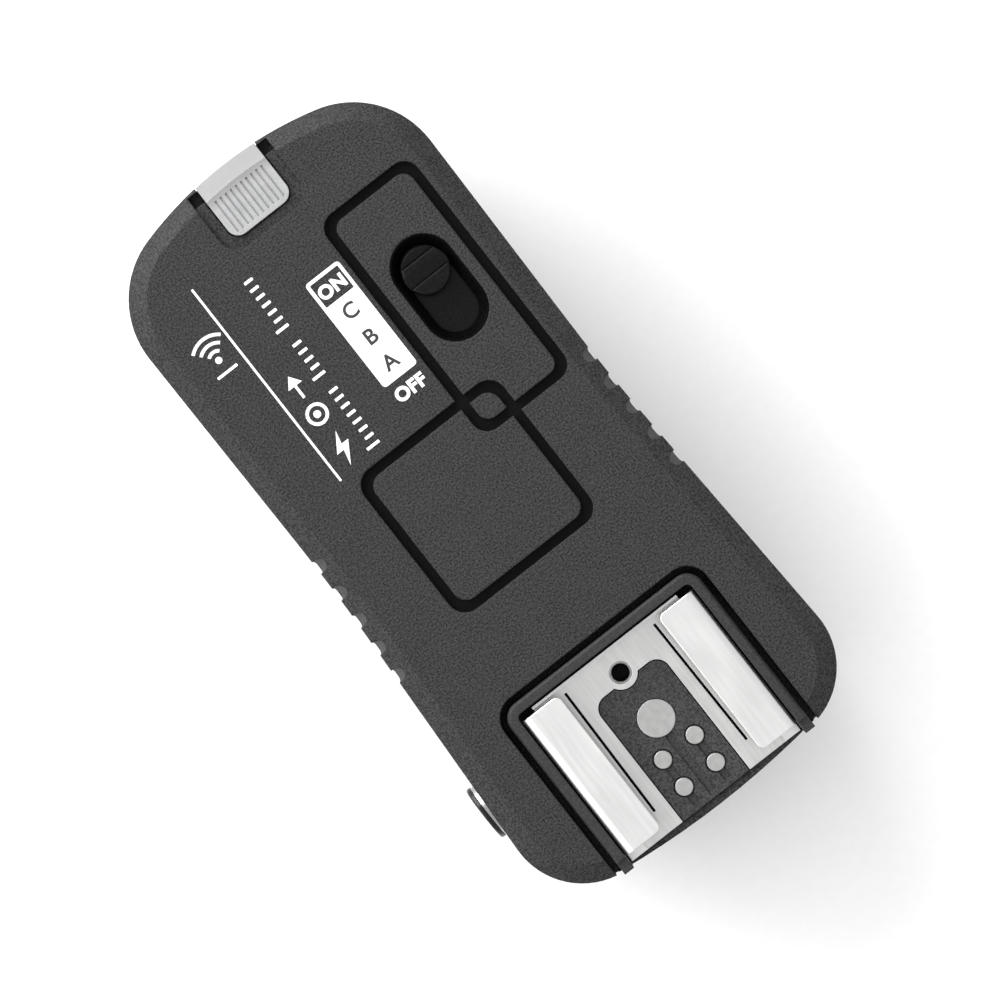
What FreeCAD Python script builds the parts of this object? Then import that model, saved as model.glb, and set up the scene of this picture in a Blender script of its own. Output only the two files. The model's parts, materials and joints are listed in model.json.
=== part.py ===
import FreeCAD, Part
import math
import os

# Wireless flash trigger, receiver unit. Millimetres, +Z up, +X across the case, +Y along it towards the
# status window. The origin is on the tripod thread's axis at the foot's underside, straight below the
# centre contact of the hot shoe.

# ---------------------------------------------------------------- general clearances
running_fit = 0.07        # radial clearance of a turning or sliding round fit
seat_gap = 0.05           # clearance between pieces that seat on each other
part_gap = 0.15           # clearance round pieces that only pass by each other
screw_gap = 0.02          # clearance between a screw's shank or a pressed piece and its bore
rim_gap = 0.3             # clearance of cut-outs round posts
weld = 0.5                # how far pieces of one solid run into each other
over = 1.0                # how far cutters run past the faces they cut
skim = 0.001              # overrun of cutters whose own end is the shape wanted
reach = 100.0             # length of a cutter that has to pass right out of the case
tiny = 1e-4               # lengths under this count as nothing

# ---------------------------------------------------------------- case outline
case_length = 82.3
shoe_setback = 10.9       # from the case's shoe end to the centre contact
case_width = 38.4         # flank to flank beside the centre contact
waist_narrowing = 3.0     # how much narrower the case is at its waist
waist_y = 31.0
far_narrowing = 2.3       # how much narrower it is at the far end
far_y = 60.5
waist_radius = 200.0
shoe_corner_radius = 8.0
shoe_crown_radius = 94.0
far_corner_radius = 9.8
far_crown_radius = 41.3
outline_run = 5.0         # how far the flanks are drawn past the ends before they are trimmed
shoe_end_y = -shoe_setback
far_end_y = shoe_end_y + case_length

# ---------------------------------------------------------------- case walls and edges
side_wall = 1.6
top_wall = 1.8
floor_wall = 1.6
top_bevel_width = 2.0
top_bevel_drop = 1.4
bottom_bevel = 1.2
tongue_width = 0.7        # raised inner rim of the bottom shell
tongue_height = 1.2
reveal_depth = 0.3        # shadow line at the parting face
reveal_height = 0.2

# ---------------------------------------------------------------- foot, stem and clamp ring
foot_width = 18.5
foot_length = 18.0
foot_thickness = 2.0
foot_corner = 1.5
foot_chamfer = 0.5
stem_radius = 8.2
stem_flat_depth = 2.1     # how much each flat takes off the stem's side
stem_thread_pitch = 1.0
stem_thread_depth = 0.35
rail_gap = 2.5            # open gap between the foot and the washer
washer_margin = 1.7       # washer's rim outside the stem
washer_thickness = 0.6
washer_chamfer = 0.15
ring_margin = 2.5         # ring's rim outside the stem
ring_height = 3.2
ring_headroom = 0.3
ring_grip_count = 30
ring_grip_radius = 0.6
ring_grip_offset = 0.27   # grip grooves' centres outside the ring's rim
ring_edge = 0.4
insert_radius = 4.0
insert_length = 7.6
insert_chamfer = 0.25
tripod_bore_radius = 2.55
knurl_count = 24
knurl_radius = 0.28
knurl_offset = 0.12       # knurl grooves' centres outside the insert's side
knurl_margin = 0.7        # plain band above and below the knurl
foot_screw_turn = 57.72   # degrees from +X to the first foot screw
foot_screw_wall = 0.16    # stem wall between a foot screw and the thread's root
foot_screw_length = 5.2
foot_screw_sink = 0.14
bore_spare = 0.4          # blind bores are this much deeper than what goes in them

# ---------------------------------------------------------------- screws
small_screw_radius = 0.95
small_head_radius = 1.7
small_head_height = 0.8
slot_width = 0.5
recess_reach = 0.63       # length of a recess arm, as a share of the head's radius
recess_deep = 0.45
case_screw_radius = 1.0
case_head_radius = 1.6
case_head_height = 1.3
case_screw_grip = 4.56     # how far the case screws reach into the cover's posts
case_head_depth = 2.4     # depth of the screw's counterbore in the bottom shell
case_head_edge = 0.4
case_boss_radius = 2.4
shoe_boss_inset = 4.3
shoe_boss_y = -4.5
far_boss_inset = 3.2
far_boss_setback = 11.4

# ---------------------------------------------------------------- battery bay and door
cell_radius = 5.25
cell_length = 43.6
cell_nub_radius = 1.9
cell_nub_height = 0.9
cell_gap = 0.4
cell_clearance = 0.3
spring_room = 2.4
plate_thickness = 0.4
plate_height = 8.0
plate_corner = 1.0
series_plate_inset = 1.2  # from the cells' outer sides to the ends of the joining plate
supply_plate_width = 8.4
plate_tab_width = 1.8
plate_tab_gap = 0.3
cell_edge = 0.4
coil_foot_radius = 3.4    # cone spring, at the end plate
coil_head_radius = 2.0    # and at the cell
coil_turns = 2.5
coil_wire = 0.25          # radius of the wire
bay_wall = 1.0
side_room = 8.2           # least room from the bay to the flank, for the posts
bay_setback = 5.2         # from the case's far end to the inside of the bay
door_lip = 1.0            # case floor left under the door's tongues
door_tongue = 1.0
door_tongue_width = 0.8
door_clearance = 0.12
door_overlap = 1.1        # how far the door runs past the bay at its inner end
door_grip_count = 6
door_grip_pitch = 1.6
door_grip_width = 0.8
door_grip_depth = 0.45
door_grip_length = 14.0
door_grip_shift = 14.0    # from the door's middle towards the far end

# ---------------------------------------------------------------- circuit board
board_standoff = 0.3
board_thickness = 1.2
board_headroom = 0.26
board_edge_gap = 0.7
board_screw_x = 10.5
board_post_radius = 2.3
board_screw_length = 6.0
board_head_height = 1.1
board_head_edge = 0.35
board_slot_z = 0.6        # bottom of the head's recess above the board

# ---------------------------------------------------------------- hot shoe
slot_half_width = 9.35
shoe_half_width = 10.9
shoe_floor = 1.0
lip_thickness = 1.4
lip_proud = 0.3
lip_half_gap = 6.4
shoe_slot_height = 2.2
spring_thickness = 0.3
shoe_back_y = 8.2
lip_front_y = -8.9
floor_front_y = -10.0
shoe_bend = 1.0
lip_corner = 0.7
cutout_half_width = 4.35
cutout_back_y = 5.0
cutout_corner = 1.5
pin_hole_y = 5.9
pin_hole_radius = 0.95
pin_tab_radius = 1.75
pin_hole_depth = 0.8      # of the lock-pin's hole in the cover, under the shoe
pin_hole_flare = 0.25
slit_x = 5.85             # slits that free the spring's arms beside the lips
slit_width = 0.28
slit_back_y = 7.7
slit_front_y = -7.4
slit_lean = 0.8           # degrees, the slits draw nearer to the lips towards the mouth
shoe_screw_x = 7.8
shoe_screw_y = 6.2
shoe_screw_length = 2.2
spring_bow = 0.5
spring_bow_length = 12.0
spring_bow_width = 1.8
spring_bow_inset = 0.2    # from the spring's edge to the bow
spring_stop_height = 1.5
spring_stop_set = 0.25    # stop's distance behind the shoe
spring_notch_width = 0.45

contact_gap = 0.12
centre_pad_radius = 2.0
small_pad_radius = 0.95
small_pad_x = 2.05
small_pad_ys = (-3.75, -7.25)
pad_thickness = 0.5
pad_proud = 0.08
contact_pin_radius = 0.45
pad_relief = 0.14
channel_width = 0.9
channel_depth = 0.3
channel_end_y = -9.3
pad_edge = 0.08
pin_tail = 0.6            # contact pins' length under the board
block_sink = 0.06         # block's face below the spring's face
block_flange = 1.2
block_flange_height = 0.8
block_front_y = -9.6

bay_floor = 1.3
shoe_bay_wall = 1.2
bezel_gap = 0.75
bezel_wall = 1.15
bezel_inner_half = 11.05
bezel_inner_back_y = 9.05
bezel_corner = 1.8
bezel_edge = 0.25
bezel_step = 0.5          # bezel's arms are lower in front of the lips
bezel_front_y = -10.35
sill_y = -10.05
sill_rise = 0.9

# ---------------------------------------------------------------- grooves in the top face
groove_width = 1.05
groove_depth = 0.9
switch_frame = (3.7, 15.3, 33.2, 60.6, 1.8)       # x from, x to, y from, y to, corner radius
square_frame = (-9.4, 8.5, 20.1, 37.95, 2.0)

# ---------------------------------------------------------------- grip notches
notch_count = 5
notch_pitch = 3.4
notch_first_y = 19.7
notch_width = 1.5
notch_top_depth = 1.15
notch_low_depth = 0.15
notch_run = 7.6           # length of the notches down the flanks

# ---------------------------------------------------------------- slide switch
switch_x = 9.55
knob_y = 50.2             # knob at the ON end
switch_travel = 4.4
knob_radius = 2.3
knob_head_radius = 2.5
knob_head_height = 1.0
knob_proud = 0.3
knob_edge = 0.3
knob_step_depth = 0.45
knob_steps = ((1.35, 1.3), (-0.8, 1.5))     # each step's riser from the knob's middle, and its run
slot_outer_width = 6.85
slot_inner_width = 4.8
slot_straight = 5.2       # straight part of the slot's sides, between its round ends
slot_lip = 0.5            # height of the upright wall at the foot of the rim's slope
slot_land = 0.12          # flat top of the rim, outside its slope
shield_width = 7.4
shield_thickness = 0.55
shield_overlap = 0.4
shield_gap = 0.2
shield_corner = 1.0
housing_width = 4.6
housing_length = 12.4
housing_height = 2.6
housing_wall = 0.35
housing_edge = 0.3
carriage_width = 3.0
carriage_length = 3.2
carriage_height = 1.5
carriage_edge = 0.2
carriage_lift = 0.1
post_width = 1.4
post_length = 2.0
post_socket_depth = 1.1
terminal_pitch = 2.0
terminal_width = 0.5
terminal_count = 6
terminal_sheet = 0.25
terminal_reach = 0.9
terminal_rise = 0.8

# ---------------------------------------------------------------- status window
lens_half_width = 3.75
lens_setback = 7.0        # from the case's far end to the window's inner end
lens_corner = 1.3
lens_thickness = 1.2
lens_gap = 0.12
lens_inset = 0.05
lens_drop = 4.6
lens_rib_pitch = 0.65
lens_rib_width = 0.22
lens_rib_depth = 0.14
lens_rib_margin = 0.7     # plain band beside the outer ribs
lens_rib_start = 0.5      # from the window's inner end to the ribs
lens_rib_setback = 2.6    # from the case's far end to the ribs
recess_half_width = 5.05
recess_setback = 8.2
recess_corner = 2.2
recess_depth = 0.45
pocket_setbacks = (2.0, 0.6)
pocket_depth = 2.3
guide_half_width = 2.4
guide_setback = 5.4
guide_length = 2.4
guide_air = 0.4           # air gap over the lamps
led_size = 1.6
led_height = 0.9
led_spacing = 2.8
led_base_height = 0.45
led_dome_inset = 0.15
led_dome_edge = 0.3

# ---------------------------------------------------------------- sync jack
jack_y = 2.7
jack_bore_radius = 1.8
jack_bore_length = 14.0
jack_collar_radius = 3.1
jack_collar_proud = 1.1
jack_wall_gap = 0.25      # from the flank's inside to the jack's body
jack_collar_chamfer = 0.15
jack_ring_step = 0.12     # collar's root is this much slimmer than its rim
jack_rim_height = 0.5
jack_mouth_flare = 0.35
jack_body_width = 6.2
jack_body_height = 5.6
jack_end_wall = 1.2
jack_body_edge = 0.5
jack_pin_size = 0.8
jack_pin_sheet = 0.3
jack_pin_shares = (0.35, 0.65, 0.95)

# ---------------------------------------------------------------- radio and other parts on the board
module_x = -7.6
module_reach = 31.2       # from the board's screws to the module's middle
module_width = 11.0
module_length = 15.0
module_thickness = 0.8
module_corner = 0.4
can_inset = 1.2
can_tail = 3.6            # module left open behind the can
can_height = 1.8
can_wall = 0.25
can_edge = 0.35
antenna_radius = 0.4
antenna_setout = 2.0      # wire's foot beside the module
antenna_length = 24.0
antenna_rise = 1.6
antenna_bend = 1.0
chip_edge = 0.2
# Chips: x, distance from the board's screws along the case, width, length, height.
chip_places = ((4.0, 11.2, 7.0, 7.0, 1.2), (-5.5, 12.7, 5.0, 4.0, 1.2), (3.5, 23.2, 4.0, 5.0, 1.0),
               (12.5, 12.2, 3.0, 4.4, 1.4))
crystal_place = (-4.0, 19.2)
crystal_width = 3.6
crystal_length = 8.0
crystal_height = 2.4
crystal_edge = 0.4
capacitor_places = ((2.0, 5.2), (-5.0, 6.2), (9.5, 5.7))
capacitor_radius = 1.8
capacitor_height = 3.2
capacitor_edge = 0.25
capacitor_base_margin = 0.15
capacitor_base_height = 0.6

# ---------------------------------------------------------------- levels, from the foot upwards
washer_z = foot_thickness + rail_gap
ring_z = washer_z + washer_thickness
case_floor_z = ring_z + ring_height + ring_headroom
tongue_z = case_floor_z + door_lip + door_clearance
rail_cap_z = tongue_z + door_tongue + door_clearance
cell_z = rail_cap_z + cell_clearance + cell_radius
ceiling_z = cell_z + cell_radius + cell_clearance
ceiling_top_z = ceiling_z + bay_wall
board_z = ceiling_top_z + board_standoff
board_top_z = board_z + board_thickness
bay_floor_under_z = board_top_z + board_headroom
bay_floor_z = bay_floor_under_z + bay_floor
spring_z = bay_floor_z + shoe_floor
slot_floor_z = spring_z + spring_thickness
lip_under_z = slot_floor_z + shoe_slot_height
lip_top_z = lip_under_z + lip_thickness
case_top_z = lip_top_z - lip_proud
cover_under_z = case_top_z - top_wall
jack_z = board_z - jack_body_height / 2
jack_collar_depth = jack_collar_proud + side_wall + jack_wall_gap
split_z = jack_z
case_screw_length = split_z - case_floor_z - case_head_depth + case_screw_grip
notch_low_z = case_top_z - notch_run

# ---------------------------------------------------------------- places along the case
bay_end_y = far_end_y - bay_setback
bay_start_y = bay_end_y - 2 * plate_thickness - cell_length - cell_nub_height - spring_room
bay_half_width = 2 * cell_radius + cell_gap / 2 + cell_clearance
body_width = max(case_width, 2 * (bay_half_width + side_room))
waist_width = body_width - waist_narrowing
far_width = body_width - far_narrowing
stem_flat_width = 2 * (stem_radius - stem_flat_depth)
washer_radius = stem_radius + washer_margin
ring_radius = stem_radius + ring_margin
door_start_y = bay_start_y - door_overlap
door_half_width = bay_half_width + bay_wall - door_clearance
tongue_half_width = door_half_width + door_tongue_width
board_screw_y = (bezel_inner_back_y + bezel_wall + bezel_gap + shoe_bay_wall + bay_start_y - bay_wall) / 2
far_boss_y = far_end_y - far_boss_setback
lens_inner_y = far_end_y - lens_setback
guide_y = far_end_y - guide_setback
module_y = board_screw_y + module_reach
switch_mid_y = knob_y - switch_travel / 2
slot_outer_length = slot_outer_width + slot_straight
slot_inner_length = slot_inner_width + slot_straight


# ================================================================ small helpers

def vec(x, y, z):
    return FreeCAD.Vector(x, y, z)


def box(x0, x1, y0, y1, z0, z1):
    return Part.makeBox(x1 - x0, y1 - y0, z1 - z0, vec(x0, y0, z0))


def cylinder(x, y, radius, z0, z1):
    return Part.makeCylinder(radius, z1 - z0, vec(x, y, z0))


def cone(x, y, radius0, radius1, z0, z1):
    return Part.makeCone(radius0, radius1, z1 - z0, vec(x, y, z0))


def upright_edges(shape):
    """Edges that run straight up."""
    found = []
    for edge in shape.Edges:
        bounds = edge.BoundBox
        if max(bounds.XLength, bounds.YLength) < tiny < bounds.ZLength:
            found.append(edge)
    return found


def near(value, target):
    return abs(value - target) < tiny


def edges_at(shape, z):
    return [edge for edge in shape.Edges if near(edge.BoundBox.ZMin, z) and near(edge.BoundBox.ZMax, z)]


def rounded_box(x0, x1, y0, y1, radius, z0, z1):
    shape = box(x0, x1, y0, y1, z0, z1)
    return shape.makeFillet(radius, upright_edges(shape))


def stadium(x, y, width, length, z0, z1):
    """Slot-shaped prism, long along Y."""
    half = (length - width) / 2
    middle = box(x - width / 2, x + width / 2, y - half, y + half, z0, z1)
    ends = [cylinder(x, y + side * half, width / 2, z0, z1) for side in (-1, 1)]
    return middle.fuse(ends).removeSplitter()


def stadium_funnel(x, y, width0, width1, straight, z0, z1):
    """Slot-shaped cutter whose sides and ends slope outwards from z0 up to z1."""
    half = straight / 2
    ends = [cone(x, y + side * half, width0 / 2, width1 / 2, z0, z1) for side in (-1, 1)]
    section = [vec(x - width0 / 2, y - half, z0), vec(x + width0 / 2, y - half, z0),
               vec(x + width1 / 2, y - half, z1), vec(x - width1 / 2, y - half, z1)]
    middle = Part.Face(Part.makePolygon(section + section[:1])).extrude(vec(0, straight, 0))
    return fused(middle, ends)


def mirrored(shape):
    """The shape and its mirror image across the case's middle plane."""
    return [shape, shape.mirror(vec(0, 0, 0), vec(1, 0, 0))]


def both_sides(shape):
    pair = mirrored(shape)
    return pair[0].fuse(pair[1])


def fused(first, others):
    return first.fuse(others).removeSplitter()


def save(name, shape):
    shape.exportStep("parts/" + name + ".step")


# ================================================================ case outline

def flank_x(y):
    """Half width of the case's straight flanks at a place along it."""
    if y < waist_y:
        share = y / waist_y
        return (body_width + (waist_width - body_width) * share) / 2
    share = (y - waist_y) / (far_y - waist_y)
    return (waist_width + (far_width - waist_width) * share) / 2


def flank_edges(low_y, high_y):
    """Right flank: two straight runs joined by a large tangent arc at the waist."""
    low = vec(flank_x(low_y), low_y, 0)
    waist = vec(flank_x(waist_y), waist_y, 0)
    high = vec(flank_x(high_y), high_y, 0)
    rising = (waist - low).normalize()
    leaving = (high - waist).normalize()
    turn = rising.getAngle(leaving)
    tangent = waist_radius * math.tan(turn / 2)
    start = waist - rising * tangent
    end = waist + leaving * tangent
    towards_centre = (leaving - rising).normalize()
    middle = waist + towards_centre * (math.hypot(waist_radius, tangent) - waist_radius)
    return [Part.LineSegment(low, start).toShape(), Part.Arc(start, middle, end).toShape(),
            Part.LineSegment(end, high).toShape()]


def case_blank():
    """Upright prism with the case's plan, one millimetre high, from z = 0."""
    low_y = shoe_end_y - outline_run
    high_y = far_end_y + outline_run
    right = flank_edges(low_y, high_y)
    left = [edge.mirror(vec(0, 0, 0), vec(1, 0, 0)) for edge in right]
    ends = []
    for y in (low_y, high_y):
        ends.append(Part.LineSegment(vec(flank_x(y), y, 0), vec(-flank_x(y), y, 0)).toShape())
    plan = Part.Face(Part.Wire(Part.sortEdges(right + left + ends)[0]))
    prism = plan.extrude(vec(0, 0, 1))
    prism = prism.common(cylinder(0, shoe_end_y + shoe_crown_radius, shoe_crown_radius, 0, 1))
    far_disc = cylinder(0, far_end_y - far_crown_radius, far_crown_radius, 0, 1)
    far_half = box(-reach, reach, far_end_y - far_crown_radius, far_end_y, 0, 1)
    near_half = box(-reach, reach, shoe_end_y - over, far_end_y - far_crown_radius, 0, 1)
    prism = prism.common(near_half.fuse(far_disc.common(far_half)).removeSplitter()).removeSplitter()
    for end_y, radius in ((shoe_end_y, shoe_corner_radius), (far_end_y, far_corner_radius)):
        prism = prism.makeFillet(radius, flank_corners(prism, end_y, radius))
    return prism


def flank_corners(prism, end_y, radius):
    """Upright edges where the flanks meet one end of the case."""
    found = []
    for edge in upright_edges(prism):
        if abs(edge.BoundBox.YMin - end_y) < radius and abs(edge.BoundBox.XMin) > far_width / 4:
            found.append(edge)
    return found


case_plan = case_blank()


def outline(inset, z):
    """Closed wire of the case's plan, moved in from its edge."""
    face = [face for face in case_plan.Faces if face.BoundBox.ZMax < tiny][0]
    wire = face.OuterWire
    if inset != 0:
        wire = Part.Wire(Part.sortEdges(wire.makeOffset2D(-inset).Edges)[0])
    return wire.translated(vec(0, 0, z))


def case_prism(inset, z0, z1):
    return Part.Face(outline(inset, z0)).extrude(vec(0, 0, z1 - z0))


def case_taper(inset0, z0, inset1, z1):
    return Part.makeLoft([outline(inset0, z0), outline(inset1, z1)], True, True)


def case_block(inset):
    """The whole case as one solid, every face moved in by the inset."""
    low_z = case_floor_z + inset
    high_z = case_top_z - inset
    slope = math.hypot(top_bevel_width, top_bevel_drop)
    drop = top_bevel_drop - inset * (top_bevel_width + top_bevel_drop - slope) / top_bevel_width
    width = top_bevel_width * drop / top_bevel_drop
    bevel_z = high_z - drop
    bottom = case_taper(inset + bottom_bevel, low_z, inset, low_z + bottom_bevel)
    middle = case_prism(inset, low_z + bottom_bevel, bevel_z)
    top = case_taper(inset, bevel_z, inset + width, high_z)
    return fused(middle, [bottom, top])


case_solid = case_block(0)


# ================================================================ cutters shared by several pieces

def notch_cutters():
    """Leaning round-bottomed grooves down both flanks."""
    cutters = []
    radius = notch_width / 2
    lean = math.degrees(math.atan2(notch_top_depth - notch_low_depth, case_top_z - notch_low_z))
    for index in range(notch_count):
        y = notch_first_y + index * notch_pitch
        axis_x = flank_x(y) - notch_low_depth + radius
        height = notch_run + 2 * over
        shaft = cylinder(axis_x, y, radius, notch_low_z, notch_low_z + height)
        tip = Part.makeSphere(radius, vec(axis_x, y, notch_low_z))
        outer = box(axis_x, axis_x + 2 * notch_width, y - radius, y + radius, notch_low_z, notch_low_z + height)
        cutter = shaft.fuse([tip, outer])
        cutter.rotate(vec(axis_x, y, notch_low_z), vec(0, 1, 0), -lean)
        cutters += mirrored(cutter)
    return cutters


def reveal_ring():
    """Thin shadow line round the case at the parting face."""
    outer = case_prism(-over, split_z - reveal_height / 2, split_z + reveal_height / 2)
    inner = case_prism(reveal_depth, split_z - reveal_height, split_z + reveal_height)
    return outer.cut(inner)


def boss_places():
    """Centres of the four posts that the case screws run through."""
    shoe_x = body_width / 2 - shoe_boss_inset
    far_x = far_width / 2 - far_boss_inset
    return [(side * x, y) for side in (-1, 1) for x, y in ((shoe_x, shoe_boss_y), (far_x, far_boss_y))]


def jack_passage(clearance):
    """Round passage for the sync jack's collar through the left flank."""
    radius = jack_collar_radius + clearance
    x0 = -flank_x(jack_y) - 2 * over
    return Part.makeCylinder(radius, side_wall + 3 * over, vec(x0, jack_y, jack_z), vec(1, 0, 0))


def window_prism(margin, z0, z1):
    """Plan of the status window, grown by a margin and run out past the far edge."""
    half = lens_half_width + margin
    corner = lens_corner + margin
    y0 = lens_inner_y - margin
    shape = box(-half, half, y0, far_end_y + over, z0, z1)
    inner = [edge for edge in upright_edges(shape) if near(edge.BoundBox.YMin, y0)]
    return shape.makeFillet(corner, inner)


# ================================================================ top cover

def frame_groove(frame):
    x0, x1, y0, y1, corner = frame
    low = case_top_z - groove_depth
    high = case_top_z + 1
    outer = rounded_box(x0, x1, y0, y1, corner, low, high)
    w = groove_width
    inner = rounded_box(x0 + w, x1 - w, y0 + w, y1 - w, corner - w / 2, low, high)
    return outer.cut(inner)


def shoe_bay_half():
    return bezel_inner_half + bezel_wall + bezel_gap


def shoe_bay_back():
    return bezel_inner_back_y + bezel_wall + bezel_gap


def cover_posts():
    posts = []
    for x, y in boss_places():
        posts.append(cylinder(x, y, case_boss_radius, split_z + seat_gap, cover_under_z + weld))
    return posts


def post_bores():
    bores = []
    top = case_floor_z + case_head_depth + case_screw_length + bore_spare
    for x, y in boss_places():
        bores.append(cylinder(x, y, case_screw_radius + screw_gap, split_z - over, top))
    return bores


def window_recess():
    """Shallow step round the window, with deeper pockets where it meets the far bevel."""
    low = case_top_z - recess_depth
    y0 = far_end_y - recess_setback
    step = box(-recess_half_width, recess_half_width, y0, far_end_y + over, low, case_top_z + over)
    inner = [edge for edge in upright_edges(step) if near(edge.BoundBox.YMin, y0)]
    step = step.makeFillet(recess_corner, inner)
    low = case_top_z - pocket_depth
    y0, y1 = [far_end_y - setback for setback in pocket_setbacks]
    pocket = box(lens_half_width, recess_half_width, y0, y1, low, case_top_z + over)
    return [step] + mirrored(pocket)


def shoe_tub():
    """Solid block that the shoe's bay is sunk into."""
    half = shoe_bay_half() + shoe_bay_wall
    tub = box(-half, half, shoe_end_y, shoe_bay_back() + shoe_bay_wall, bay_floor_under_z, cover_under_z + weld)
    return tub.common(case_prism(side_wall / 2, bay_floor_under_z, case_top_z))


def shoe_bay():
    """The bay round the bezel, with its low sill at the shoe's mouth."""
    half = shoe_bay_half()
    back = shoe_bay_back()
    deep = box(-half, half, sill_y, back, bay_floor_z, case_top_z + over)
    mouth = box(-half, half, shoe_end_y - over, sill_y, bay_floor_z + sill_rise, case_top_z + over)
    corners = [edge for edge in upright_edges(deep) if near(edge.BoundBox.YMin, back)]
    return [deep.makeFillet(bezel_corner + bezel_gap, corners), mouth]


def block_seat():
    """Stepped opening in the bay's floor for the contact block and its flange."""
    half = cutout_half_width - contact_gap
    y0 = block_front_y - seat_gap
    wide = half + block_flange + seat_gap
    through = box(-half - seat_gap, half + seat_gap, y0, cutout_back_y, bay_floor_under_z - over, bay_floor_z + over)
    step = box(-wide, wide, y0, cutout_back_y, bay_floor_z - block_flange_height - seat_gap, bay_floor_z + over)
    return [through, step]


def shoe_screw_places():
    return [(x, y) for x in (-shoe_screw_x, shoe_screw_x) for y in (-shoe_screw_y, shoe_screw_y)]


def shoe_fixings():
    """Blind hole for the flash's lock pin, and the bores of the shoe's screws."""
    holes = [cylinder(0, pin_hole_y, pin_hole_radius + part_gap, bay_floor_z - pin_hole_depth, bay_floor_z + over)]
    for x, y in shoe_screw_places():
        holes.append(cylinder(x, y, small_screw_radius + screw_gap, bay_floor_under_z - over, bay_floor_z + over))
    return holes


def top_cover():
    shell = case_solid.common(case_prism(-over, split_z, case_top_z + over))
    shell = shell.cut(case_prism(side_wall, split_z - over, cover_under_z))
    rabbet = side_wall - tongue_width - part_gap
    shell = shell.cut(case_prism(rabbet, split_z - over, split_z + tongue_height + part_gap))
    shell = fused(shell, [shoe_tub()] + cover_posts())
    cuts = shoe_bay() + block_seat() + shoe_fixings()
    cuts += [frame_groove(switch_frame), frame_groove(square_frame)]
    cuts.append(stadium(switch_x, switch_mid_y, slot_outer_width, slot_outer_length, cover_under_z - over,
                        case_top_z + over))
    cuts += window_recess()
    cuts.append(window_prism(lens_gap, case_top_z - lens_drop - lens_gap, case_top_z + over))
    cuts += notch_cutters() + post_bores() + [reveal_ring(), jack_passage(part_gap)]
    return shell.cut(cuts)


# ================================================================ bottom shell

def stem():
    """Threaded post with two flats between the case and the foot."""
    z0 = foot_thickness
    z1 = case_floor_z + weld
    post = cylinder(0, 0, stem_radius, z0, z1)
    count = int((case_floor_z - z0) / stem_thread_pitch)
    for index in range(count):
        z = z0 + (index + 0.5) * stem_thread_pitch
        depth = stem_thread_depth
        outside = stem_radius + running_fit
        corners = [vec(outside, 0, z - depth), vec(stem_radius - depth, 0, z), vec(outside, 0, z + depth)]
        groove = Part.Face(Part.makePolygon(corners + corners[:1])).revolve(vec(0, 0, 0), vec(0, 0, 1), 360)
        post = post.cut(groove)
    flats = box(-stem_flat_width / 2, stem_flat_width / 2, -reach, reach, z0, case_floor_z)
    flats = flats.fuse(box(-reach, reach, -reach, reach, case_floor_z, z1))
    return post.common(flats)


def battery_bay():
    """Ceiling, walls and door rails of the battery compartment, as one solid block with its hollow."""
    half = bay_half_width
    outer = half + bay_wall
    y0 = bay_start_y - bay_wall
    y1 = bay_end_y + bay_wall
    walls = box(-outer, outer, y0, y1, rail_cap_z, ceiling_top_z)
    cap_half = tongue_half_width + door_clearance + bay_wall
    cap = box(-cap_half, cap_half, y0, y1, rail_cap_z, rail_cap_z + bay_wall)
    rails = both_sides(box(cap_half - bay_wall, cap_half, y0, y1, case_floor_z, rail_cap_z + bay_wall))
    sill = box(-cap_half, cap_half, y0, y0 + bay_wall - door_clearance, case_floor_z, rail_cap_z)
    return walls.fuse([cap, rails, sill])


def bay_limits():
    """Where the bay may reach: into the shell's own wall, but clear of the cover's."""
    low = case_prism(side_wall / 2, case_floor_z, split_z)
    high = case_prism(side_wall + part_gap, case_floor_z, ceiling_top_z)
    return fused(low, [high])


def door_path():
    """Space for the door and its tongues, run out past the far end."""
    c = door_clearance
    start = door_start_y - c
    narrow = box(-door_half_width - c, door_half_width + c, start, far_end_y + over, case_floor_z - over, tongue_z)
    half = tongue_half_width + c
    wide = box(-half, half, start + door_overlap, far_end_y + over, tongue_z - c, rail_cap_z)
    return [narrow, wide]


def plate_tab_xs():
    return (-bay_half_width / 2, bay_half_width / 2)


def board_posts():
    posts = []
    for x in (-board_screw_x, board_screw_x):
        posts.append(cylinder(x, board_screw_y, board_post_radius, case_floor_z + weld, board_z))
    return posts


def parting_tongue():
    """Raised inner rim that locates the cover."""
    rim = case_prism(side_wall - tongue_width, split_z - weld, split_z + tongue_height)
    hollow = case_prism(side_wall, split_z - over, split_z + tongue_height + over)
    posts = [cylinder(x, y, case_boss_radius + part_gap, split_z, split_z + 2 * tongue_height)
             for x, y in boss_places()]
    return rim.cut([hollow] + posts)


def shell_posts():
    within = case_prism(side_wall / 2, case_floor_z, split_z)
    posts = [cylinder(x, y, case_boss_radius, case_floor_z + weld, split_z) for x, y in boss_places()]
    return [post.common(within) for post in posts] + board_posts()


def plate_windows():
    """Openings in the bay's ceiling for the tabs of the supply plates."""
    half = plate_tab_width / 2 + plate_tab_gap
    y0 = bay_start_y - 2 * seat_gap
    y1 = bay_start_y + plate_thickness + 2 * seat_gap
    return [box(x - half, x + half, y0, y1, ceiling_z - over, ceiling_top_z + over) for x in plate_tab_xs()]


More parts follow.
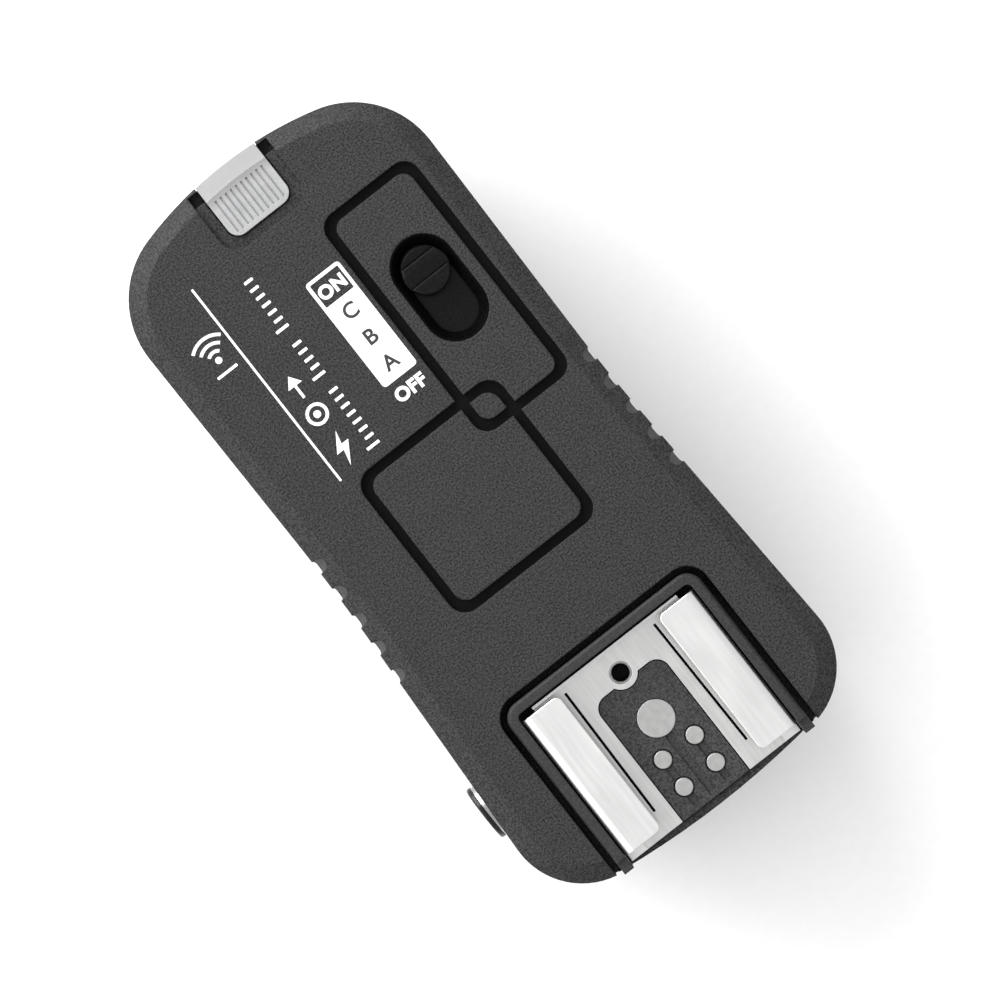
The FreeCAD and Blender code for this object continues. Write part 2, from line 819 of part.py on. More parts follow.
def shell_bores():
    """Bores for the case screws, the board's screws, the tripod insert and the foot's screws."""
    bores = []
    head_z = case_floor_z + case_head_depth
    for x, y in boss_places():
        bores.append(cylinder(x, y, case_screw_radius + part_gap, case_floor_z - over, split_z + over))
        bores.append(cylinder(x, y, case_head_radius + part_gap, case_floor_z - over, head_z))
    radius = small_screw_radius + screw_gap
    for x in (-board_screw_x, board_screw_x):
        bores.append(cylinder(x, board_screw_y, radius, board_z - board_screw_length, board_z + over))
    bores.append(cylinder(0, 0, insert_radius + screw_gap, foot_thickness - over, insert_length + bore_spare))
    for x, y in foot_screw_places():
        bores.append(cylinder(x, y, radius, foot_thickness - over, foot_screw_length + bore_spare))
    return bores


def bottom_shell():
    shell = case_solid.common(case_prism(-over, case_floor_z - over, split_z))
    shell = shell.cut(case_prism(side_wall, case_floor_z + floor_wall, split_z + over))
    bay = battery_bay().common(bay_limits())
    shell = fused(shell, [parting_tongue(), stem(), bay] + shell_posts())
    cuts = [box(-bay_half_width, bay_half_width, bay_start_y, bay_end_y, rail_cap_z - over, ceiling_z)]
    cuts += door_path() + plate_windows() + shell_bores()
    cuts += notch_cutters() + [reveal_ring(), jack_passage(part_gap), jack_room()]
    return shell.cut(cuts)


def jack_room():
    """Clear space in the shell's rim for the jack's body."""
    x0 = -flank_x(jack_y) + side_wall - tongue_width
    half = jack_body_width / 2 + part_gap
    x1 = x0 + tongue_width + 2 * over
    return box(x0 - over, x1, jack_y - half, jack_y + half, split_z - weld, split_z + tongue_height + over)


# ================================================================ battery door, cells and contacts

def battery_door():
    half = door_half_width
    panel_top = tongue_z - door_clearance
    top = tongue_z + door_tongue
    upper_y = door_start_y + door_overlap
    panel = box(-half, half, door_start_y, far_end_y + over, case_floor_z, panel_top)
    core = box(-half, half, upper_y, far_end_y + over, panel_top, top)
    tongues = box(-tongue_half_width, tongue_half_width, upper_y, far_end_y + over, tongue_z, top)
    door = case_solid.common(fused(panel, [core, tongues]))
    grips = []
    middle = (door_start_y + far_end_y) / 2 + door_grip_shift
    for index in range(door_grip_count):
        y = middle + (index - (door_grip_count - 1) / 2) * door_grip_pitch
        grips.append(rounded_box(-door_grip_length / 2, door_grip_length / 2, y - door_grip_width / 2,
                                 y + door_grip_width / 2, door_grip_width / 2 - screw_gap,
                                 case_floor_z - over, case_floor_z + door_grip_depth))
    return door.cut(grips)


def lengthwise(shape, y, flip):
    """Turns a piece built along +Z to lie along the case from y, pointing to +Y or, flipped, to -Y."""
    shape.rotate(vec(0, 0, 0), vec(1, 0, 0), 90 if flip else -90)
    shape.translate(vec(0, y, 0))
    return shape


def cell_places():
    """Each cell's centre x, the y of its flat end, and whether it points to -Y."""
    x = cell_radius + cell_gap / 2
    low_y = bay_start_y + plate_thickness + spring_room
    high_y = bay_end_y - plate_thickness - spring_room
    return [(-x, low_y, False), (x, high_y, True)]


def battery_cells():
    cells = []
    for x, y, flip in cell_places():
        can = cylinder(0, 0, cell_radius, 0, cell_length)
        can = can.makeFillet(cell_edge, edges_at(can, 0) + edges_at(can, cell_length))
        cell = fused(can, [cylinder(0, 0, cell_nub_radius, cell_length - weld, cell_length + cell_nub_height)])
        cell = lengthwise(cell, y, flip)
        cell.translate(vec(x, 0, cell_z))
        cells.append(cell)
    return Part.makeCompound(cells)


def coil_spring(radius, top_radius, height, turns, wire):
    slope = math.degrees(math.atan2(top_radius - radius, height))
    path = Part.makeHelix(height / turns, height, radius, slope)
    section = Part.Wire(Part.Circle(vec(radius, 0, 0), vec(0, 1, 0), wire).toShape())
    return Part.Wire(path).makePipeShell([section], True, True)


def battery_springs():
    springs = []
    shy = coil_wire + seat_gap
    for x, y, flip in cell_places():
        spring = coil_spring(coil_foot_radius, coil_head_radius, spring_room - 2 * shy, coil_turns, coil_wire)
        foot_y = y + spring_room - shy if flip else y - spring_room + shy
        spring = lengthwise(spring, foot_y, flip)
        spring.translate(vec(x, 0, cell_z))
        springs.append(spring)
    return Part.makeCompound(springs)


def series_plate():
    half = 2 * cell_radius - series_plate_inset
    y0 = bay_end_y - plate_thickness
    return rounded_plate_xz(-half, half, y0, bay_end_y - screw_gap, cell_z, plate_height, plate_corner)


def rounded_plate_xz(x0, x1, y0, y1, z, height, corner):
    """Thin upright plate across the case with rounded corners."""
    plate = box(x0, x1, y0, y1, z - height / 2, z + height / 2)
    across = [edge for edge in plate.Edges if edge.BoundBox.YLength > tiny]
    return plate.makeFillet(corner, across)


def supply_plates():
    plates = []
    y0 = bay_start_y + screw_gap
    y1 = bay_start_y + plate_thickness
    half = supply_plate_width / 2
    tab_half = plate_tab_width / 2
    for x in plate_tab_xs():
        plate = rounded_plate_xz(x - half, x + half, y0, y1, cell_z, plate_height, plate_corner)
        tab = box(x - tab_half, x + tab_half, y0, y1, cell_z, board_z)
        plates.append(fused(plate, [tab]))
    return Part.makeCompound(plates)


# ================================================================ circuit board and what is on it

def post_notches():
    """Round cut-outs in the board's edges that clear the case's posts."""
    radius = case_boss_radius + rim_gap
    z0 = board_z - 1
    z1 = board_top_z + 1
    cuts = []
    for x, y in boss_places():
        outer_x = math.copysign(body_width, x)
        cuts.append(cylinder(x, y, radius, z0, z1))
        cuts.append(box(min(x, outer_x), max(x, outer_x), y - radius, y + radius, z0, z1))
    return cuts


def main_board():
    board = case_prism(side_wall + board_edge_gap, board_z, board_top_z)
    cuts = post_notches()
    for x in (-board_screw_x, board_screw_x):
        cuts.append(cylinder(x, board_screw_y, small_screw_radius + part_gap, board_z - over, board_top_z + over))
    for x, y, radius in contact_places():
        cuts.append(cylinder(x, y, contact_pin_radius + seat_gap, board_z - over, board_top_z + over))
    return board.cut(cuts)


def board_box(x, y, width, length, height, edge):
    """Low part that sits on the board, with its top edges broken."""
    body = box(x - width / 2, x + width / 2, y - length / 2, y + length / 2, board_top_z, board_top_z + height)
    return body.makeChamfer(edge, edges_at(body, board_top_z + height))


def radio_module():
    return rounded_box(module_x - module_width / 2, module_x + module_width / 2,
                       module_y - module_length / 2, module_y + module_length / 2, module_corner,
                       board_top_z, board_top_z + module_thickness)


def radio_shield():
    z0 = board_top_z + module_thickness
    half_x = module_width / 2 - can_inset
    y0 = module_y - module_length / 2 + can_inset
    y1 = module_y + module_length / 2 - can_tail
    can = box(module_x - half_x, module_x + half_x, y0, y1, z0, z0 + can_height)
    can = can.makeFillet(can_edge, upright_edges(can) + edges_at(can, z0 + can_height))
    w = can_wall
    hollow = box(module_x - half_x + w, module_x + half_x - w, y0 + w, y1 - w, z0 - over, z0 + can_height - w)
    return can.cut(hollow)


def antenna():
    """Bent wire: up from the module's corner, then straight towards the shoe."""
    x = module_x - module_width / 2 - antenna_setout
    y = module_y
    z0 = board_top_z
    z1 = z0 + antenna_rise
    bend = antenna_bend
    turn = bend * (1 - math.sqrt(0.5))
    rise = Part.LineSegment(vec(x, y, z0), vec(x, y, z1 - bend))
    corner = Part.Arc(vec(x, y, z1 - bend), vec(x, y - turn, z1 - turn), vec(x, y - bend, z1))
    run = Part.LineSegment(vec(x, y - bend, z1), vec(x, y - antenna_length, z1))
    path = Part.Wire([piece.toShape() for piece in (rise, corner, run)])
    section = Part.Wire(Part.Circle(vec(x, y, z0), vec(0, 0, 1), antenna_radius).toShape())
    return path.makePipeShell([section], True, True)


def board_chips():
    chips = []
    for x, distance, width, length, height in chip_places:
        chips.append(board_box(x, board_screw_y + distance, width, length, height, chip_edge))
    return Part.makeCompound(chips)


def board_crystal():
    x, distance = crystal_place
    can = stadium(0, 0, crystal_width, crystal_length, 0, crystal_height)
    can = can.makeFillet(crystal_edge, edges_at(can, crystal_height))
    can.rotate(vec(0, 0, 0), vec(0, 0, 1), 90)
    can.translate(vec(x, board_screw_y + distance, board_top_z))
    return can


def board_capacitors():
    cans = []
    side = 2 * (capacitor_radius + capacitor_base_margin)
    low = board_top_z + capacitor_base_height / 2
    high = board_top_z + capacitor_height
    for x, distance in capacitor_places:
        y = board_screw_y + distance
        base = board_box(x, y, side, side, capacitor_base_height, capacitor_base_margin)
        can = cylinder(x, y, capacitor_radius, low, high)
        cans.append(fused(base, [can.makeFillet(capacitor_edge, edges_at(can, high))]))
    return Part.makeCompound(cans)


def status_leds():
    leds = []
    high = board_top_z + led_height
    for x in (-led_spacing / 2, led_spacing / 2):
        base = board_box(x, guide_y, led_size, led_size, led_base_height, led_dome_inset / 2)
        dome = cylinder(x, guide_y, led_size / 2 - led_dome_inset, board_top_z + led_base_height / 2, high)
        leds.append(fused(base, [dome.makeFillet(led_dome_edge, edges_at(dome, high))]))
    return Part.makeCompound(leds)


# ================================================================ slide switch

def shield_z():
    return cover_under_z - shield_gap - shield_thickness


def knob_risers(top):
    """Saw-tooth steps across the knob: each slopes down to an upright riser."""
    steps = []
    length = 2 * knob_head_radius + 2 * over
    for offset, run in knob_steps:
        y = knob_y + offset
        corners = [vec(0, y, top + skim), vec(0, y + run, top + skim), vec(0, y, top - knob_step_depth)]
        step = Part.Face(Part.makePolygon(corners + corners[:1])).extrude(vec(length, 0, 0))
        step.translate(vec(switch_x - length / 2, 0, 0))
        steps.append(step)
    return steps


def switch_knob():
    """Round stepped knob on the dust shield that always covers the slot."""
    z0 = shield_z()
    top = case_top_z + knob_proud
    neck = cylinder(switch_x, knob_y, knob_radius, z0, top - knob_head_height + weld / 2)
    head = cylinder(switch_x, knob_y, knob_head_radius, top - knob_head_height, top)
    head = head.makeFillet(knob_edge, edges_at(head, top))
    half = slot_inner_length / 2 + shield_overlap
    y0 = switch_mid_y - half
    y1 = switch_mid_y + half + switch_travel
    shield = rounded_box(switch_x - shield_width / 2, switch_x + shield_width / 2, y0, y1, shield_corner,
                         z0, z0 + shield_thickness)
    w = post_width / 2 + seat_gap
    n = post_length / 2 + seat_gap
    socket = box(switch_x - w, switch_x + w, knob_y - n, knob_y + n, z0 - over, z0 + post_socket_depth)
    return fused(head, [neck, shield]).cut(knob_risers(top) + [socket])


def switch_escutcheon():
    """Black rim of the slot: its face slopes from the cover's surface down to the narrow opening."""
    z0 = cover_under_z
    z1 = case_top_z - seat_gap
    y = switch_mid_y
    rim = stadium(switch_x, y, slot_outer_width - 2 * seat_gap, slot_outer_length - 2 * seat_gap, z0, z1)
    rim = rim.cut(stadium(switch_x, y, slot_inner_width, slot_inner_length, z0 - over, z1 + over))
    wide = slot_outer_width - 2 * (seat_gap + slot_land)
    return rim.cut(stadium_funnel(switch_x, y, slot_inner_width, wide, slot_straight, z0 + slot_lip, z1))


def switch_housing():
    z1 = board_top_z + housing_height
    half_x = housing_width / 2
    half_y = housing_length / 2
    y = switch_mid_y
    can = box(switch_x - half_x, switch_x + half_x, y - half_y, y + half_y, board_top_z, z1)
    can = can.makeFillet(housing_edge, upright_edges(can) + edges_at(can, z1))
    w = housing_wall
    hollow = box(switch_x - half_x + w, switch_x + half_x - w, y - half_y + w, y + half_y - w,
                 board_top_z + w, z1 - w)
    slot = box(switch_x - post_width / 2 - part_gap, switch_x + post_width / 2 + part_gap,
               y - switch_travel / 2 - post_length / 2 - rim_gap,
               y + switch_travel / 2 + post_length / 2 + rim_gap,
               z1 - 2 * w, z1 + over)
    return can.cut([hollow, slot])


def switch_actuator():
    z0 = board_top_z + housing_wall + carriage_lift
    carriage = box(switch_x - carriage_width / 2, switch_x + carriage_width / 2,
                   knob_y - carriage_length / 2, knob_y + carriage_length / 2, z0, z0 + carriage_height)
    carriage = carriage.makeChamfer(carriage_edge, upright_edges(carriage))
    post = box(switch_x - post_width / 2, switch_x + post_width / 2, knob_y - post_length / 2,
               knob_y + post_length / 2, z0, shield_z() + post_socket_depth - seat_gap)
    return fused(carriage, [post])


def switch_terminals():
    pins = []
    half = housing_width / 2
    for side in (-1, 1):
        for index in range(terminal_count):
            y = switch_mid_y + (index - (terminal_count - 1) / 2) * terminal_pitch
            x0 = switch_x + side * half
            x1 = x0 + side * terminal_reach
            foot = box(min(x0, x1), max(x0, x1), y - terminal_width / 2, y + terminal_width / 2,
                       board_top_z, board_top_z + terminal_sheet)
            x2 = x0 + side * terminal_sheet
            leg = box(min(x0, x2), max(x0, x2), y - terminal_width / 2, y + terminal_width / 2,
                      board_top_z, board_top_z + terminal_rise)
            pins.append(fused(foot, [leg]))
    return Part.makeCompound(pins)


# ================================================================ hot shoe

def pin_tab(margin, z0, z1):
    """Round tab that carries the lock-pin hole into the cut-out."""
    return cylinder(0, pin_hole_y, pin_tab_radius + margin, z0, z1)


def shoe_cutout(margin, z0, z1):
    """U-shaped opening round the contact block, open towards the shoe's mouth."""
    half = cutout_half_width - margin
    y1 = cutout_back_y - margin
    shape = box(-half, half, shoe_end_y - over, y1, z0, z1)
    back = [edge for edge in upright_edges(shape) if near(edge.BoundBox.YMin, y1)]
    shape = shape.makeFillet(cutout_corner - margin, back)
    return shape.cut(pin_tab(margin, z0 - over, z1 + over))


def cross_recess(x, y, head_radius, z0, z1):
    """Two crossed slots for the screwdriver."""
    arm = head_radius * recess_reach
    half = slot_width / 2
    return [box(x - arm, x + arm, y - half, y + half, z0, z1), box(x - half, x + half, y - arm, y + arm, z0, z1)]


def countersunk_screw(x, y, top_z, length):
    """Countersunk screw pointing down, with a cross recess."""
    head = cone(x, y, small_screw_radius, small_head_radius, top_z - small_head_height, top_z)
    shank = cylinder(x, y, small_screw_radius, top_z - length, top_z - small_head_height + skim)
    return fused(head, [shank]).cut(cross_recess(x, y, small_head_radius, top_z - recess_deep, top_z + over))


def shoe_channel():
    """Bent channel with its corners rounded, and the two lips set back from the mouth."""
    y0 = floor_front_y
    y1 = shoe_back_y
    block = box(-shoe_half_width, shoe_half_width, y0, y1, bay_floor_z, lip_top_z)
    top_long = [edge for edge in edges_at(block, lip_top_z) if edge.BoundBox.YLength > tiny]
    block = block.makeFillet(shoe_bend, top_long)
    slot = box(-slot_half_width, slot_half_width, y0 - over, y1 + over, spring_z, lip_under_z)
    mouth = box(-lip_half_gap, lip_half_gap, y0 - over, y1 + over, lip_under_z - over, lip_top_z + over)
    front = box(-reach, reach, y0 - over, lip_front_y, spring_z, lip_top_z + over)
    return block.cut(slot).cut([mouth, front])


def lip_corners(shoe):
    found = []
    for edge in upright_edges(shoe):
        on_lip = near(edge.BoundBox.ZMax, lip_top_z)
        if on_lip and near(abs(edge.BoundBox.XMin + edge.BoundBox.XMax) / 2, lip_half_gap):
            found.append(edge)
    return found


def hot_shoe():
    """Channel bent from sheet: floor, two side walls and two lips."""
    shoe = shoe_channel()
    shoe = shoe.makeFillet(lip_corner, lip_corners(shoe))
    cuts = [shoe_cutout(0, bay_floor_z - over, spring_z + spring_thickness)]
    cuts.append(cylinder(0, pin_hole_y, pin_hole_radius, bay_floor_z - over, spring_z + over))
    shank = small_screw_radius + seat_gap
    for x, y in shoe_screw_places():
        cuts.append(cylinder(x, y, shank, bay_floor_z - over, spring_z))
        cuts.append(cone(x, y, shank, small_head_radius + seat_gap, spring_z - small_head_height, spring_z + skim))
    return shoe.cut(cuts)


def shoe_screws():
    top = spring_z - screw_gap
    return Part.makeCompound([countersunk_screw(x, y, top, shoe_screw_length) for x, y in shoe_screw_places()])


def spring_bows(half, y0, y1):
    """Low arches under the lips that press up on the flash's foot."""
    radius = ((spring_bow_length / 2) ** 2 + spring_bow ** 2) / (2 * spring_bow)
    middle = (lip_front_y + shoe_back_y) / 2
    crest = slot_floor_z + spring_bow
    bows = []
    for side in (-1, 1):
        x = side * (half - spring_bow_width / 2 - spring_bow_inset)
        x0 = x - spring_bow_width / 2
        barrel = Part.makeCylinder(radius, spring_bow_width, vec(x0, middle, crest - radius), vec(1, 0, 0))
        band = box(x0 - over, x0 + spring_bow_width + over, y0, y1, spring_z + spring_thickness / 2, crest + over)
        bows.append(barrel.common(band))
    return bows


def spring_slits():
    slits = []
    for side in (-1, 1):
        slit = box(-slit_width / 2, slit_width / 2, slit_front_y, slit_back_y, spring_z - over, slot_floor_z + over)
        slit.rotate(vec(0, 0, 0), vec(0, 0, 1), side * slit_lean)
        slit.translate(vec(side * slit_x, 0, 0))
        slits.append(slit)
    return slits


def shoe_spring():
    """Thin plate on the shoe's floor, bowed under each lip, with a turned-up stop at the back."""
    half = slot_half_width - seat_gap
    y0 = floor_front_y + seat_gap
    y1 = shoe_back_y + spring_stop_set
    top = slot_floor_z
    plate = box(-half, half, y0, y1, spring_z, top)
    stop = box(-half, half, y1, y1 + spring_thickness, spring_z, top + spring_stop_height)
    spring = fused(plate, [stop] + spring_bows(half, y0, y1))
    cuts = [shoe_cutout(0, spring_z - over, top + over)] + spring_slits()
    cuts.append(cylinder(0, pin_hole_y, pin_hole_radius, spring_z - over, top + over))
    cuts.append(cone(0, pin_hole_y, pin_hole_radius, pin_hole_radius + pin_hole_flare,
                     top - pin_hole_flare, top + skim))
    notch = half - spring_notch_width
    cuts += mirrored(box(notch, half + over, y0 - over, lip_front_y, spring_z - over, top + over))
    return spring.cut(cuts)


def contact_places():
    places = [(0, 0, centre_pad_radius)]
    for y in small_pad_ys:
        for side in (-1, 1):
            places.append((side * small_pad_x, y, small_pad_radius))
    return places


def block_top_z():
    return slot_floor_z - block_sink


def contact_block():
    top = block_top_z()
    z0 = bay_floor_z - block_flange_height
    upper = shoe_cutout(contact_gap, bay_floor_z, top).common(
        box(-reach, reach, floor_front_y, reach, bay_floor_z - over, top + over))
    half = cutout_half_width - contact_gap
    flange = box(-half - block_flange, half + block_flange, block_front_y, cutout_back_y - contact_gap,
                 z0, bay_floor_z - seat_gap)
    lower = box(-half, half, block_front_y, cutout_back_y - contact_gap, board_top_z + seat_gap, bay_floor_z)
    neck = box(-half, half, block_front_y, cutout_back_y - 2 * cutout_corner, z0, bay_floor_z + block_sink)
    block = fused(upper, [flange, lower, neck])
    cuts = [cylinder(0, pin_hole_y, pin_tab_radius + contact_gap, board_top_z, top + over)]
    low = top - channel_depth
    half_channel = channel_width / 2
    cuts.append(box(-half_channel, half_channel, channel_end_y, -centre_pad_radius / 2, low, top + over))
    for side in (-1, 1):
        x = side * small_pad_x
        cuts.append(box(x - half_channel, x + half_channel, channel_end_y, small_pad_ys[0], low, top + over))
    for x, y, radius in contact_places():
        cuts.append(cylinder(x, y, contact_pin_radius + seat_gap, board_top_z, top + over))
        relief = pad_relief if radius < centre_pad_radius else seat_gap
        cuts.append(cylinder(x, y, radius + relief, top + pad_proud - pad_thickness - seat_gap, top + over))
    return block.cut(cuts)


def contact(x, y, radius):
    """Flat round pad with a pin down through the board."""
    top = block_top_z() + pad_proud
    pad = cylinder(x, y, radius, top - pad_thickness, top)
    pad = pad.makeChamfer(pad_edge, edges_at(pad, top))
    pin = cylinder(x, y, contact_pin_radius, board_z - pin_tail, top - pad_thickness / 2)
    return fused(pad, [pin])


def centre_contact():
    return contact(*contact_places()[0])


def small_contacts():
    return Part.makeCompound([contact(*place) for place in contact_places()[1:]])


def shoe_bezel():
    """Black U-shaped frame, open at the shoe's mouth."""
    outer_half = bezel_inner_half + bezel_wall
    outer_back = bezel_inner_back_y + bezel_wall
    z0 = bay_floor_z + screw_gap
    z1 = case_top_z
    front = bezel_front_y
    frame = box(-outer_half, outer_half, front, outer_back, z0, z1)
    back = [edge for edge in upright_edges(frame) if near(edge.BoundBox.YMin, outer_back)]
    frame = frame.makeFillet(bezel_corner, back)
    frame = frame.makeChamfer(bezel_edge, edges_at(frame, z1))
    hole = box(-bezel_inner_half, bezel_inner_half, front - over, bezel_inner_back_y, z0 - over, z1 + over)
    inner = [edge for edge in upright_edges(hole) if near(edge.BoundBox.YMin, bezel_inner_back_y)]
    hole = hole.makeFillet(bezel_corner - bezel_wall, inner)
    foot_cut = box(-reach, reach, front - over, sill_y + seat_gap, z0 - over, bay_floor_z + sill_rise + seat_gap)
    step = box(-reach, reach, front - over, lip_front_y - seat_gap, z1 - bezel_step, z1 + over)
    return frame.cut([hole, foot_cut, step])


# ================================================================ status window

def status_lens():
    """Clear skin that follows the case's top, bevel and far end, with a light guide down to the lamps."""
    low_z = case_top_z - lens_drop
    skin = case_block(lens_inset).cut(case_block(lens_inset + lens_thickness))
    skin = skin.common(window_prism(0, low_z, case_top_z + over))
    guide = box(-guide_half_width, guide_half_width, guide_y - guide_length / 2, guide_y + guide_length / 2,
                board_top_z + led_height + guide_air, case_top_z - lens_inset - lens_thickness / 2)
    lens = fused(skin, [guide])
    ribs = []
    count = int(2 * (lens_half_width - lens_rib_margin) / lens_rib_pitch)
    y0 = lens_inner_y + lens_rib_start
    y1 = far_end_y - lens_rib_setback
    z0 = case_top_z - lens_inset - lens_rib_depth
    for index in range(count + 1):
        x = (index - count / 2) * lens_rib_pitch
        ribs.append(box(x - lens_rib_width / 2, x + lens_rib_width / 2, y0, y1, z0, case_top_z + over))
    return lens.cut(ribs)


# ================================================================ sync jack

def jack_face_x():
    return -flank_x(jack_y) - jack_collar_proud


def along_x(radius, x0, x1):
    return Part.makeCylinder(radius, x1 - x0, vec(x0, jack_y, jack_z), vec(1, 0, 0))


def jack_collar():
    """Round metal collar with a wider rim outside the flank."""
    x0 = jack_face_x()
    x1 = x0 + jack_collar_depth
    rim = along_x(jack_collar_radius, x0, x0 + jack_rim_height)
    front = [edge for edge in rim.Edges if near(edge.BoundBox.XMax, x0)]
    rim = rim.makeChamfer(jack_collar_chamfer, front)
    root = along_x(jack_collar_radius - jack_ring_step, x0 + jack_rim_height / 2, x1)
    mouth = Part.makeCone(jack_bore_radius + jack_mouth_flare, jack_bore_radius, jack_mouth_flare,
                          vec(x0 - skim, jack_y, jack_z), vec(1, 0, 0))
    return fused(root, [rim]).cut([along_x(jack_bore_radius, x0 - over, x1 + over), mouth])


def sync_jack():
    face = jack_face_x()
    x0 = face + jack_collar_depth
    x1 = face + jack_bore_length + jack_end_wall
    half = jack_body_width / 2
    half_z = jack_body_height / 2
    body = box(x0, x1, jack_y - half, jack_y + half, jack_z - half_z, jack_z + half_z - screw_gap)
    lengthways = [edge for edge in body.Edges if edge.BoundBox.XLength > tiny]
    body = body.makeChamfer(jack_body_edge, lengthways)
    return body.cut(along_x(jack_bore_radius, x0 - over, face + jack_bore_length))


def jack_terminals():
    x0 = jack_face_x() + jack_collar_depth
    pins = []
    half = jack_pin_sheet / 2
    for share in jack_pin_shares:
        x = x0 + share * (jack_bore_length - jack_collar_depth)
        for side in (-1, 1):
            y = jack_y + side * (jack_body_width / 2 + half)
            pins.append(box(x - jack_pin_size / 2, x + jack_pin_size / 2, y - half, y + half, jack_z, board_z))
    return Part.makeCompound(pins)


# ================================================================ foot, clamp and fasteners

def foot_screw_places():
    """Four places on one circle, just inside the root of the stem's thread."""
    radius = stem_radius - stem_thread_depth - foot_screw_wall - small_screw_radius
    x = radius * math.cos(math.radians(foot_screw_turn))
    y = radius * math.sin(math.radians(foot_screw_turn))
    return [(-x, -y), (-x, y), (x, -y), (x, y)]


def shoe_foot():
    half_x = foot_width / 2
    half_y = foot_length / 2
    plate = rounded_box(-half_x, half_x, -half_y, half_y, foot_corner, 0, foot_thickness - screw_gap)
    plate = plate.makeChamfer(foot_chamfer, edges_at(plate, 0))
    cuts = [cylinder(0, 0, insert_radius + seat_gap, -over, foot_thickness + over)]
    narrow = small_screw_radius + seat_gap
    wide = small_head_radius + seat_gap
    sink = foot_screw_sink - screw_gap
    for x, y in foot_screw_places():
        cuts.append(cylinder(x, y, narrow, -over, foot_thickness + over))
        cuts.append(cylinder(x, y, wide, -over, sink))
        cuts.append(cone(x, y, wide, narrow, sink, sink + small_head_height))
    return plate.cut(cuts)


def foot_screws():
    screws = []
    for x, y in foot_screw_places():
        screw = countersunk_screw(x, y, 0, foot_screw_length)
        screw.rotate(vec(x, y, 0), vec(1, 0, 0), 180)
        screw.translate(vec(0, 0, foot_screw_sink))
        screws.append(screw)
    return Part.makeCompound(screws)


def tripod_insert():
    insert = cylinder(0, 0, insert_radius, 0, insert_length)
    insert = insert.makeChamfer(insert_chamfer, edges_at(insert, 0))
    knurl = []
    for index in range(knurl_count):
        angle = 2 * math.pi * index / knurl_count
        x = (insert_radius + knurl_offset) * math.cos(angle)
        y = (insert_radius + knurl_offset) * math.sin(angle)
        knurl.append(cylinder(x, y, knurl_radius, foot_thickness + knurl_margin, insert_length - knurl_margin))
    return insert.cut([cylinder(0, 0, tripod_bore_radius, -over, insert_length + over)] + knurl)


def pressure_washer():
    plate = cylinder(0, 0, washer_radius, washer_z, ring_z - screw_gap)
    plate = plate.makeChamfer(washer_chamfer, edges_at(plate, washer_z))
    hole = cylinder(0, 0, stem_radius + running_fit, washer_z - over, ring_z + over)
    half = stem_flat_width / 2 + running_fit
    hole = hole.common(box(-half, half, -reach, reach, washer_z - over, ring_z + over))
    return plate.cut(hole)


def lock_ring():
    z0 = ring_z
    z1 = ring_z + ring_height
    ring = cylinder(0, 0, ring_radius, z0, z1)
    ring = ring.makeChamfer(ring_edge, edges_at(ring, z0) + edges_at(ring, z1))
    grips = []
    for index in range(ring_grip_count):
        angle = 2 * math.pi * index / ring_grip_count
        x = (ring_radius + ring_grip_offset) * math.cos(angle)
        y = (ring_radius + ring_grip_offset) * math.sin(angle)
        grips.append(cylinder(x, y, ring_grip_radius, z0 - over, z1 + over))
    return ring.cut([cylinder(0, 0, stem_radius + running_fit, z0 - over, z1 + over)] + grips)


def case_screws():
    screws = []
    head_z = case_floor_z + case_head_depth
    low = head_z - case_head_height
    for x, y in boss_places():
        shank = cylinder(x, y, case_screw_radius, head_z - seat_gap - skim, head_z + case_screw_length)
        head = cylinder(x, y, case_head_radius, low, head_z - seat_gap)
        head = head.makeFillet(case_head_edge, edges_at(head, low))
        recess = cross_recess(x, y, case_head_radius, low - over, low + recess_deep)
        screws.append(fused(head, [shank]).cut(recess))
    return Part.makeCompound(screws)


def board_screws():
    screws = []
    low = board_top_z + screw_gap
    high = board_top_z + board_head_height
    for x in (-board_screw_x, board_screw_x):
        tip = board_top_z - board_screw_length + screw_gap
        shank = cylinder(x, board_screw_y, small_screw_radius, tip, low + skim)
        head = cylinder(x, board_screw_y, small_head_radius, low, high)
        head = head.makeFillet(board_head_edge, edges_at(head, high))
        recess = cross_recess(x, board_screw_y, small_head_radius, board_top_z + board_slot_z, high + over)
        screws.append(fused(head, [shank]).cut(recess))
    return Part.makeCompound(screws)


# ================================================================ write every piece

pieces = {
    "top_cover": top_cover,
    "bottom_shell": bottom_shell,
    "battery_door": battery_door,
    "battery_cells": battery_cells,
    "battery_springs": battery_springs,
    "series_plate": series_plate,
    "supply_plates": supply_plates,
    "main_board": main_board,
    "radio_module": radio_module,
    "radio_shield": radio_shield,
    "antenna": antenna,
    "board_chips": board_chips,
    "board_crystal": board_crystal,
    "board_capacitors": board_capacitors,
    "board_screws": board_screws,
    "status_leds": status_leds,
    "status_lens": status_lens,
    "switch_knob": switch_knob,
    "switch_escutcheon": switch_escutcheon,
    "switch_housing": switch_housing,
    "switch_actuator": switch_actuator,
    "switch_terminals": switch_terminals,
    "hot_shoe": hot_shoe,
    "shoe_spring": shoe_spring,
    "shoe_screws": shoe_screws,
    "contact_block": contact_block,
    "centre_contact": centre_contact,
    "small_contacts": small_contacts,
    "shoe_bezel": shoe_bezel,
    "sync_jack": sync_jack,
    "jack_collar": jack_collar,
    "jack_terminals": jack_terminals,
    "case_screws": case_screws,
    "shoe_foot": shoe_foot,
    "foot_screws": foot_screws,
    "tripod_insert": tripod_insert,
    "pressure_washer": pressure_washer,
    "lock_ring": lock_ring,
}

os.makedirs("parts", exist_ok=True)
for name, make in pieces.items():
    save(name, make())
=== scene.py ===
import json
import math

